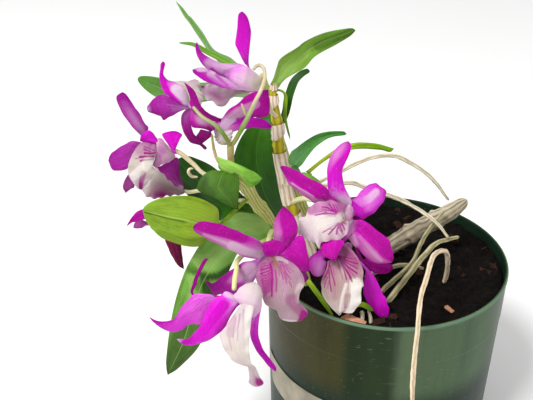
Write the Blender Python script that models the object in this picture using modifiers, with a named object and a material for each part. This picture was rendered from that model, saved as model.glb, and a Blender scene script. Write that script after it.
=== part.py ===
"""A potted dendrobium orchid: canes, strap leaves, aerial roots and magenta blooms in a nursery pot.

Sizes are in millimetres from the middle of the pot's base: +X to the right, -Y to the front, +Z up.
"""

import math
import random

import bmesh
import bpy
import numpy as np

MM = 0.001

POT_HEIGHT = 125.0
RIM_RADIUS = 75.0
BAND_RADIUS = 74.6
BAND_HEIGHT = 28.0
WALL_TOP_RADIUS = 74.0
WALL_FOOT_RADIUS = 71.5
WALL = 1.8
FLOOR = 2.4
RIM_LIP = 2.6

MIX_TOP = 119.0
GAP = 0.3

LABEL_TOP = 60.0
LABEL_FOOT = 37.0
LABEL_THICK = 0.8
LABEL_FROM = -187.0
LABEL_TO = -98.0

BLADE = 0.8
LEAF = 1.0

FRONT = (0.0, -0.87, 0.49)
BACK = (0.0, 0.87, -0.49)
UP = (0.0, 0.0, 1.0)
LEFT = (-1.0, 0.0, 0.0)
RIGHT = (1.0, 0.0, 0.0)


def clear_scene():
    for item in list(bpy.data.objects):
        bpy.data.objects.remove(item, do_unlink=True)


def new_collection(name):
    collection = bpy.data.collections.new(name)
    bpy.context.scene.collection.children.link(collection)
    return collection


def material(name, colour, roughness):
    made = bpy.data.materials.new(name)
    made.use_nodes = True
    shader = made.node_tree.nodes["Principled BSDF"]
    shader.inputs["Base Color"].default_value = (*colour, 1.0)
    shader.inputs["Roughness"].default_value = roughness
    return made


def move_to(obj, collection):
    for home in list(obj.users_collection):
        home.objects.unlink(obj)
    collection.objects.link(obj)


def apply_modifiers(obj):
    bpy.context.view_layer.objects.active = obj
    for modifier in list(obj.modifiers):
        bpy.ops.object.modifier_apply(modifier=modifier.name)


def smooth_path(points, steps):
    """Evenly spaced places along a smooth curve through the points."""
    knots = np.array(points, float)
    ends = np.vstack([2 * knots[0] - knots[1], knots, 2 * knots[-1] - knots[-2]])
    fine = []
    for i in range(1, len(ends) - 2):
        before, start, stop, after = ends[i - 1 : i + 3]
        for t in np.linspace(0, 1, 12, endpoint=False):
            bend = 2 * before - 5 * start + 4 * stop - after
            turn = 3 * start - before - 3 * stop + after
            fine.append(0.5 * (2 * start + (stop - before) * t + bend * t**2 + turn * t**3))
    fine = np.array(fine + [knots[-1]])
    lengths = np.concatenate([[0], np.cumsum(np.linalg.norm(np.diff(fine, axis=0), axis=1))])
    wanted = np.linspace(0, lengths[-1], steps + 1)
    return np.stack([np.interp(wanted, lengths, fine[:, k]) for k in range(3)], axis=1)


def unit(vector):
    return vector / max(np.linalg.norm(vector), 1e-9)


def frames(path, face, twist):
    """The across and face directions at each place, carried along the path and turned by the twist."""
    tangents = np.gradient(path, axis=0)
    normal = np.array(face, float)
    across, normals = [], []
    for i, tangent in enumerate(tangents):
        tangent = unit(tangent)
        normal = unit(normal - tangent * (normal @ tangent))
        turn = math.radians(twist * i / (len(path) - 1))
        side = np.cross(tangent, normal)
        across.append(math.cos(turn) * side + math.sin(turn) * normal)
        normals.append(math.cos(turn) * normal - math.sin(turn) * side)
    return across, normals


def outline(along, base, peak, tip, point):
    """The half width of a blade at this share of its length, with 1 at its widest."""
    if along < peak:
        rise = along / peak
        return base + (1 - base) * rise * rise * (3 - 2 * rise)
    fall = (along - peak) / (1 - peak)
    return tip + (1 - tip) * max(1 - fall * fall, 0) ** point


def blade(name, points, width, face=FRONT, cup=(40, 20), base=0.4, peak=0.5, tip=0.12,
          point=0.7, twist=0, fold=0.0, wave=0.0, rows=6, columns=2, thick=BLADE):
    """A petal, lip or leaf: a flat grid laid along a path, arched across and given its thickness."""
    bpy.ops.mesh.primitive_grid_add(x_subdivisions=columns, y_subdivisions=rows, size=2)
    obj = bpy.context.object
    obj.name = name
    path = smooth_path(points, rows)
    across, normals = frames(path, face, twist)
    for vertex in obj.data.vertices:
        side = vertex.co.x
        along = (vertex.co.y + 1) / 2
        row = round(along * rows)
        half = width / 2 * outline(along, base, peak, tip, point)
        arch = math.radians(cup[0] + (cup[1] - cup[0]) * along)
        if abs(arch) < 0.02:
            out, lift = side * half, 0.0
        else:
            radius = 2 * half / arch
            out = radius * math.sin(side * arch / 2)
            lift = radius * (1 - math.cos(side * arch / 2))
        lift += fold * half * abs(side)
        lift += wave * half * side * side * math.sin(11 * along + 2 * side)
        vertex.co = (path[row] + across[row] * out + normals[row] * lift) * MM
    obj.modifiers.new("Triangles", "TRIANGULATE")
    shell = obj.modifiers.new("Thickness", "SOLIDIFY")
    shell.thickness = thick * MM
    shell.offset = 0.0
    apply_modifiers(obj)
    return obj


def tube(name, points, radii, steps=8, sides=1, extra=0.0):
    """A stem or root through the points, its thickness changing evenly between the radii."""
    path = smooth_path(points, steps)
    sizes = np.interp(np.linspace(0, 1, steps + 1), np.linspace(0, 1, len(radii)), radii)
    curve = bpy.data.curves.new(name, "CURVE")
    curve.dimensions = "3D"
    curve.bevel_depth = MM
    curve.bevel_resolution = sides
    curve.use_fill_caps = True
    spline = curve.splines.new("POLY")
    spline.points.add(steps)
    for point, place, size in zip(spline.points, path, sizes):
        point.co = (*(place * MM), 1.0)
        point.radius = size + extra
    guide = bpy.data.objects.new(name + "_guide", curve)
    bpy.context.scene.collection.objects.link(guide)
    mesh = bpy.data.meshes.new_from_object(guide)
    bpy.data.objects.remove(guide, do_unlink=True)
    obj = bpy.data.objects.new(name, mesh)
    bpy.context.scene.collection.objects.link(obj)
    welded = bmesh.new()
    welded.from_mesh(mesh)
    bmesh.ops.remove_doubles(welded, verts=welded.verts, dist=0.00002)
    bmesh.ops.triangulate(welded, faces=welded.faces)
    bmesh.ops.recalc_face_normals(welded, faces=welded.faces)
    welded.to_mesh(mesh)
    welded.free()
    return obj


def union(name, pieces):
    """One body from pieces that grow into each other."""
    first = pieces[0]
    if len(pieces) > 1:
        others = bpy.data.collections.new(name + "_pieces")
        bpy.context.scene.collection.children.link(others)
        for piece in pieces[1:]:
            move_to(piece, others)
        joined = first.modifiers.new("Grown together", "BOOLEAN")
        joined.operation = "UNION"
        joined.operand_type = "COLLECTION"
        joined.collection = others
        joined.solver = "EXACT"
        joined.use_self = True
        apply_modifiers(first)
        for piece in pieces[1:]:
            bpy.data.objects.remove(piece, do_unlink=True)
        bpy.data.collections.remove(others)
    first.name = name
    return first


def cut(obj, cutters):
    for cutter in cutters:
        hole = obj.modifiers.new("Seat", "BOOLEAN")
        hole.operation = "DIFFERENCE"
        hole.object = cutter
        hole.solver = "EXACT"
        apply_modifiers(obj)


def finish(obj, surface):
    obj.data.materials.clear()
    obj.data.materials.append(surface)
    for face in obj.data.polygons:
        face.use_smooth = True
        face.material_index = 0
    move_to(obj, plant)


def turned(name, profile, steps):
    """A round body from a half section that runs down its outer side."""
    mesh = bpy.data.meshes.new(name)
    places = [(radius * MM, 0.0, height * MM) for radius, height in profile]
    mesh.from_pydata(places, [(i, i + 1) for i in range(len(places) - 1)], [])
    obj = bpy.data.objects.new(name, mesh)
    bpy.context.scene.collection.objects.link(obj)
    screw = obj.modifiers.new("Turned", "SCREW")
    screw.steps = steps
    screw.render_steps = steps
    screw.use_merge_vertices = True
    screw.merge_threshold = 0.00002
    apply_modifiers(obj)
    return obj


def cutter(obj):
    obj.hide_render = True
    obj.display_type = "WIRE"
    move_to(obj, cutters)
    return obj


clear_scene()
random.seed(7)
plant = new_collection("dendrobium_orchid")
cutters = new_collection("cutters")

POT_GREEN = material("Dark green plastic", (0.05, 0.10, 0.06), 0.25)
MIX_BROWN = material("Potting mix", (0.02, 0.012, 0.008), 0.95)
LABEL_WHITE = material("Plain label paper", (0.62, 0.58, 0.50), 0.7)
OLD_CANE = material("Old yellow cane", (0.48, 0.36, 0.05), 0.5)
GREEN_CANE = material("Green cane", (0.38, 0.45, 0.12), 0.5)
BACKBULB = material("Shrivelled cane", (0.30, 0.25, 0.17), 0.8)
LEAF_GREEN = material("Orchid leaf", (0.12, 0.36, 0.05), 0.4)
ROOT_CREAM = material("Aerial root", (0.62, 0.55, 0.38), 0.7)
TEPAL = material("Magenta tepal", (0.60, 0.01, 0.46), 0.5)
LIP = material("Veined lip", (0.78, 0.66, 0.70), 0.5)
STALK = material("Flower stalk", (0.70, 0.68, 0.36), 0.5)

# The pot, its filling and the blank label.
pot = turned("pot", [
    (0.0, FLOOR),
    (WALL_FOOT_RADIUS - WALL - 4, FLOOR),
    (WALL_FOOT_RADIUS - WALL, FLOOR + 5),
    (WALL_TOP_RADIUS - WALL, POT_HEIGHT - BAND_HEIGHT),
    (BAND_RADIUS - WALL, POT_HEIGHT - BAND_HEIGHT + 3),
    (BAND_RADIUS - WALL + 0.2, POT_HEIGHT - 0.6),
    (BAND_RADIUS - WALL + 0.8, POT_HEIGHT),
    (RIM_RADIUS - 0.6, POT_HEIGHT),
    (RIM_RADIUS, POT_HEIGHT - 0.6),
    (RIM_RADIUS, POT_HEIGHT - RIM_LIP),
    (BAND_RADIUS, POT_HEIGHT - RIM_LIP - 0.6),
    (BAND_RADIUS - 0.4, POT_HEIGHT - BAND_HEIGHT + 0.8),
    (WALL_TOP_RADIUS, POT_HEIGHT - BAND_HEIGHT),
    (WALL_FOOT_RADIUS + 0.2, 3.0),
    (WALL_FOOT_RADIUS - 2.0, 0.0),
    (0.0, 0.0),
], 48)
finish(pot, POT_GREEN)

fill = BAND_RADIUS - WALL - GAP
fill_foot = WALL_FOOT_RADIUS - WALL - 4.5
mix = turned("potting_mix", [
    (0.0, MIX_TOP),
    (12.0, MIX_TOP),
    (25.0, MIX_TOP),
    (37.0, MIX_TOP),
    (49.0, MIX_TOP),
    (60.0, MIX_TOP),
    (fill, MIX_TOP - 1.5),
    (fill - 0.6, POT_HEIGHT - BAND_HEIGHT + 4),
    (WALL_TOP_RADIUS - WALL - GAP - 0.4, POT_HEIGHT - BAND_HEIGHT - 1),
    (WALL_FOOT_RADIUS - WALL - 0.8, FLOOR + 6),
    (fill_foot, FLOOR + GAP + 0.4),
    (0.0, FLOOR + GAP + 0.4),
], 24)
for vertex in mix.data.vertices:
    x, y, z = vertex.co / MM
    reach = math.hypot(x, y)
    if z > MIX_TOP - 2 and reach < 66:
        lump = math.sin(0.31 * x + 1.0) * math.cos(0.27 * y) + math.sin(0.19 * x - 0.23 * y)
        vertex.co.z += 1.3 * lump * MM


def bark_chips(count):
    """Chips of bark half sunk in the mix, clear of the stems."""
    chips = []
    for i in range(count):
        angle = math.radians(360 * i / count + random.uniform(-8, 8))
        reach = random.choice((26, 52, 60))
        bpy.ops.mesh.primitive_cube_add(size=1)
        chip = bpy.context.object
        chip.dimensions = (
            random.uniform(8, 13) * MM,
            random.uniform(5, 8) * MM,
            random.uniform(3, 5) * MM,
        )
        chip.rotation_euler = (
            random.uniform(-0.3, 0.3),
            random.uniform(-0.4, 0.4),
            random.uniform(0, 3.1),
        )
        chip.location = (
            reach * math.cos(angle) * MM,
            reach * math.sin(angle) * MM,
            (MIX_TOP + random.uniform(-0.5, 1.0)) * MM,
        )
        bpy.ops.object.transform_apply(location=True, rotation=True, scale=True)
        chips.append(chip)
    return chips


mix = union("potting_mix", [mix, *bark_chips(12)])

bpy.ops.mesh.primitive_grid_add(x_subdivisions=18, y_subdivisions=1, size=2)
label = bpy.context.object
label.name = "label"
for vertex in label.data.vertices:
    turn = math.radians(LABEL_FROM + (LABEL_TO - LABEL_FROM) * (vertex.co.x + 1) / 2)
    height = LABEL_FOOT + (LABEL_TOP - LABEL_FOOT) * (vertex.co.y + 1) / 2
    rise = (height - 3.0) / (POT_HEIGHT - BAND_HEIGHT - 3.0)
    wall = WALL_FOOT_RADIUS + 0.2 + (WALL_TOP_RADIUS - WALL_FOOT_RADIUS - 0.2) * rise
    reach = wall + GAP + LABEL_THICK / 2
    vertex.co = (reach * math.cos(turn) * MM, reach * math.sin(turn) * MM, height * MM)
label.modifiers.new("Triangles", "TRIANGULATE")
paper = label.modifiers.new("Thickness", "SOLIDIFY")
paper.thickness = LABEL_THICK * MM
paper.offset = 0.0
apply_modifiers(label)
finish(label, LABEL_WHITE)

# The canes. Each is one growth of joints, thicker at its nodes.
OLD_PATH = [(-40, -12, 101), (-46, -8, 122), (-54, -5, 145), (-61, -3, 164), (-65, 0, 183),
            (-68, 2, 200), (-68, 2, 210), (-70, 3, 220), (-71, 4, 230), (-71, 4, 237)]
OLD_RADII = [4.2, 4.2, 4.0, 3.8, 3.5, 3.4, 3.4, 3.1, 2.7, 1.4]
GREEN_PATH = [(-50, -22, 101), (-53, -22, 120), (-57, -22, 134), (-64, -24, 148), (-71, -28, 161),
              (-76, -31, 173), (-82, -35, 184), (-87, -38, 196), (-92, -42, 204), (-95, -43, 208)]
GREEN_RADII = [4.6, 4.6, 4.4, 4.0, 3.6, 3.4, 3.4, 3.2, 3.4, 3.0]
BACK_PATH = [(-33, 18, 101), (-44, 18, 130), (-57, 18, 160), (-67, 17, 195), (-73, 16, 220),
             (-78, 14, 240)]
BACK_RADII = [4.2, 4.2, 3.8, 3.4, 3.0, 2.0]
BULB_PATH = [(-12, 14, 101), (-3, 11, 117), (5, 8, 127), (16, 6, 137), (26, 4, 145), (38, 2, 155),
             (47, 2, 163)]
BULB_RADII = [4.0, 4.6, 5.2, 5.4, 5.4, 5.0, 3.0]
KEIKI_PATH = [(-64, -2, 184), (-57, -4, 181), (-50, -6, 180), (-44, -8, 180)]
KEIKI_RADII = [2.2, 2.6, 2.8, 1.8]


def stem(name, path, radii, surface, steps):
    """The stem itself and a slightly thicker cutter that seats its neighbours 0.3 mm clear of it."""
    body = tube(name, path, radii, steps, 2)
    seat = cutter(tube(name + "_seat", path, radii, steps, 2, GAP + 0.1))
    finish(body, surface)
    return body, seat


old_cane, old_seat = stem("old_cane", OLD_PATH, OLD_RADII, OLD_CANE, 12)
green_cane, green_seat = stem("green_cane", GREEN_PATH, GREEN_RADII, GREEN_CANE, 12)
back_cane, back_seat = stem("back_cane", BACK_PATH, BACK_RADII, GREEN_CANE, 10)
bulb, bulb_seat = stem("shrivelled_cane", BULB_PATH, BULB_RADII, BACKBULB, 10)
keiki = tube("plantlet_stem", KEIKI_PATH, KEIKI_RADII, 5, 2)
keiki_seat = cutter(tube("plantlet_seat", KEIKI_PATH, KEIKI_RADII, 5, 2, GAP + 0.1))
cut(keiki, [old_seat])
finish(keiki, GREEN_CANE)

# Aerial roots, all round and tapering to a blunt tip.
ROOTS = {
    "root_long_upper": ([(-46, -8, 180), (-38, -8, 184), (-29, -4, 187), (-15, 0, 192),
                         (0, 4, 192), (13, 6, 185), (26, 8, 174), (38, 10, 158)],
                        [1.3, 1.4, 1.5, 1.4, 0.9], [keiki_seat]),
    "root_long_lower": ([(-46, -10, 179), (-36, -16, 183), (-26, -15, 184), (-16, -13, 179),
                         (-5, -11, 174), (7, -9, 168), (24, -13, 158), (34, -16, 147)],
                        [1.3, 1.5, 1.6, 1.4, 0.9], [keiki_seat]),
    "root_in_pot_1": ([(-14, -38, 108), (-6, -33, 120), (4, -25, 125), (14, -16, 130),
                       (19, -11, 140), (25, -9, 152), (32, -6, 160)],
                      [1.8, 1.7, 1.6, 1.5, 1.0], []),
    "root_in_pot_2": ([(-12, -46, 108), (-2, -40, 120), (9, -28, 127), (19, -19, 135),
                       (28, -14, 142), (42, -10, 144)], [2.2, 2.1, 2.0, 1.9, 1.1], []),
    "root_in_pot_3": ([(-22, -22, 108), (-14, -18, 119), (-4, -15, 123), (12, -8, 122),
                       (26, -6, 116), (34, -6, 108)], [1.8, 1.7, 1.5, 1.2], []),
    "root_over_rim": ([(34, -16, 108), (34, -22, 128), (30, -30, 146), (19, -47, 155),
                       (12, -65, 152), (7, -78, 147), (6, -84, 134), (6, -85, 105), (8, -83, 78),
                       (10, -84, 62)], [1.6, 1.6, 1.6, 1.5, 1.6, 1.1], []),
    "root_front_stub": ([(-20, -46, 108), (-20, -54, 120), (-21, -62, 121)],
                        [1.7, 1.7, 1.2], []),
}
root_seats = []
for name, (path, radii, seats) in ROOTS.items():
    root = tube(name, path, radii, 12 if len(path) > 5 else 6, 1)
    if not seats:
        steps = 12 if len(path) > 5 else 6
        root_seats.append(cutter(tube(name + "_seat", path, radii, steps, 1, GAP)))
    cut(root, seats)
    finish(root, ROOT_CREAM)

cut(mix, [old_seat, green_seat, back_seat, bulb_seat, *root_seats])
finish(mix, MIX_BROWN)

# Leaves: path, width, face, arch across, and the cane each one clasps.
LEAVES = {
    "leaf_top_narrow": dict(points=[(-77, 14, 232), (-87, 13, 241), (-97, 14, 246),
                                    (-107, 17, 252), (-117, 21, 263), (-127, 26, 279)], width=7,
                            face=(0.5, -0.6, 0.6), cup=(40, 160), peak=0.3, point=2.4, tip=0.12,
                            seat=[back_seat]),
    "leaf_top_small": dict(points=[(-77, 11, 234), (-93, 4, 248), (-108, 2, 257), (-115, 2, 261),
                                   (-123, 2, 262)], width=5, cup=(50, 30), peak=0.5,
                           seat=[back_seat]),
    "leaf_left_tip": dict(points=[(-76, 13, 225), (-93, 0, 235), (-112, -8, 237), (-128, -14, 240),
                                  (-144, -18, 249)], width=12, cup=(40, 30), base=0.5, peak=0.75,
                          tip=0.1, seat=[back_seat]),
    "leaf_upper_right": dict(points=[(-73, 17, 226), (-71, 18, 231), (-68, 19, 237),
                                     (-61, 20, 243), (-49, 22, 251), (-37, 24, 257),
                                     (-24, 26, 262)], width=13, cup=(50, 20), base=0.3,
                             peak=0.42, point=0.9, seat=[back_seat]),
    "leaf_dark_narrow": dict(points=[(-69, 15, 203), (-64, 12, 215), (-62, 14, 225),
                                     (-59, 17, 233), (-55, 19, 237), (-50, 21, 239)], width=5.5,
                             cup=(70, 70), base=0.6, tip=0.45, seat=[back_seat]),
    "leaf_thin_upright": dict(points=[(-73, 14, 219), (-70, 9, 231), (-64, 8, 229), (-64, 8, 215),
                                      (-61, 7, 201)], width=3, face=(0.5, -0.8, 0.3),
                              cup=(60, 40), base=0.8, seat=[back_seat]),
    "leaf_mid_right": dict(points=[(-55, -5, 180), (-56, 1, 189), (-52, 3, 197), (-42, 5, 203),
                                   (-28, 6, 206)], width=11, face=(-0.3, -0.8, 0.4),
                           cup=(40, 40), base=0.5, peak=0.35, point=0.9, seat=[keiki_seat]),
    "leaf_grass": dict(points=[(-50, -5, 180), (-47, 2, 184), (-38, 4, 190), (-27, 6, 197),
                               (-15, 8, 198), (1, 10, 193)], width=4.4, cup=(60, 40), base=0.6,
                       peak=0.6, tip=0.4, seat=[keiki_seat]),
    "leaf_small_right": dict(points=[(-57, -5, 181), (-53, -11, 186), (-46, -15, 184),
                                     (-42, -18, 181)], width=6, cup=(50, 30), seat=[keiki_seat]),
    "leaf_dark_wide": dict(points=[(-72, 15, 216), (-79, 9, 206), (-81, 9, 186),
                                   (-76, 8, 164), (-66, 6, 146)], width=27, cup=(30, 20),
                           base=0.3, peak=0.45, tip=0.15, seat=[back_seat]),
    "leaf_heart_shaded": dict(points=[(-91, -42, 202), (-95, -49, 203), (-98, -55, 202),
                                      (-96, -59, 197), (-90, -60, 190)], width=25, cup=(30, 30),
                              face=(-0.1, -0.8, 0.6), base=0.15, peak=0.5, tip=0.05, point=0.9,
                              seat=[green_seat]),
    "leaf_small_tip": dict(points=[(-93, -43, 206), (-86, -50, 209), (-77, -49, 203)], width=8,
                           cup=(50, 30), base=0.6, seat=[green_seat]),
    "leaf_bright_oval": dict(points=[(-83, -36, 188), (-92, -47, 186), (-100, -54, 185),
                                     (-112, -59, 184), (-125, -61, 186), (-139, -61, 190)],
                             width=26, cup=(30, 20), base=0.25, peak=0.62, tip=0.3,
                             seat=[green_seat]),
    "leaf_shaded_back": dict(points=[(-89, -40, 200), (-104, -28, 201), (-115, -22, 199),
                                     (-125, -20, 192)], width=18, cup=(30, 20),
                             seat=[green_seat]),
    "leaf_long_low": dict(points=[(-76, -31, 172), (-84, -37, 174), (-93, -43, 172),
                                  (-103, -50, 165), (-111, -57, 147), (-120, -63, 120),
                                  (-133, -64, 83)], width=22, cup=(60, 20), base=0.5, peak=0.5,
                          tip=0.02, point=0.8, seat=[green_seat]),
    "leaf_grass_low": dict(points=[(-53, -23, 124), (-49, -42, 131), (-42, -54, 127),
                                   (-36, -60, 119)], width=4, cup=(40, 30), base=0.7,
                           seat=[green_seat]),
}
for name, kind in LEAVES.items():
    seats = kind.pop("seat")
    kind.setdefault("cup", (40, 20))
    leaf = blade(name, rows=8, thick=LEAF, **kind)
    cut(leaf, seats)
    finish(leaf, LEAF_GREEN)


def tepal(points, width, face=FRONT, cup=(50, 20), **shape):
    return dict(points=points, width=width, face=face, cup=cup, **shape)


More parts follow.
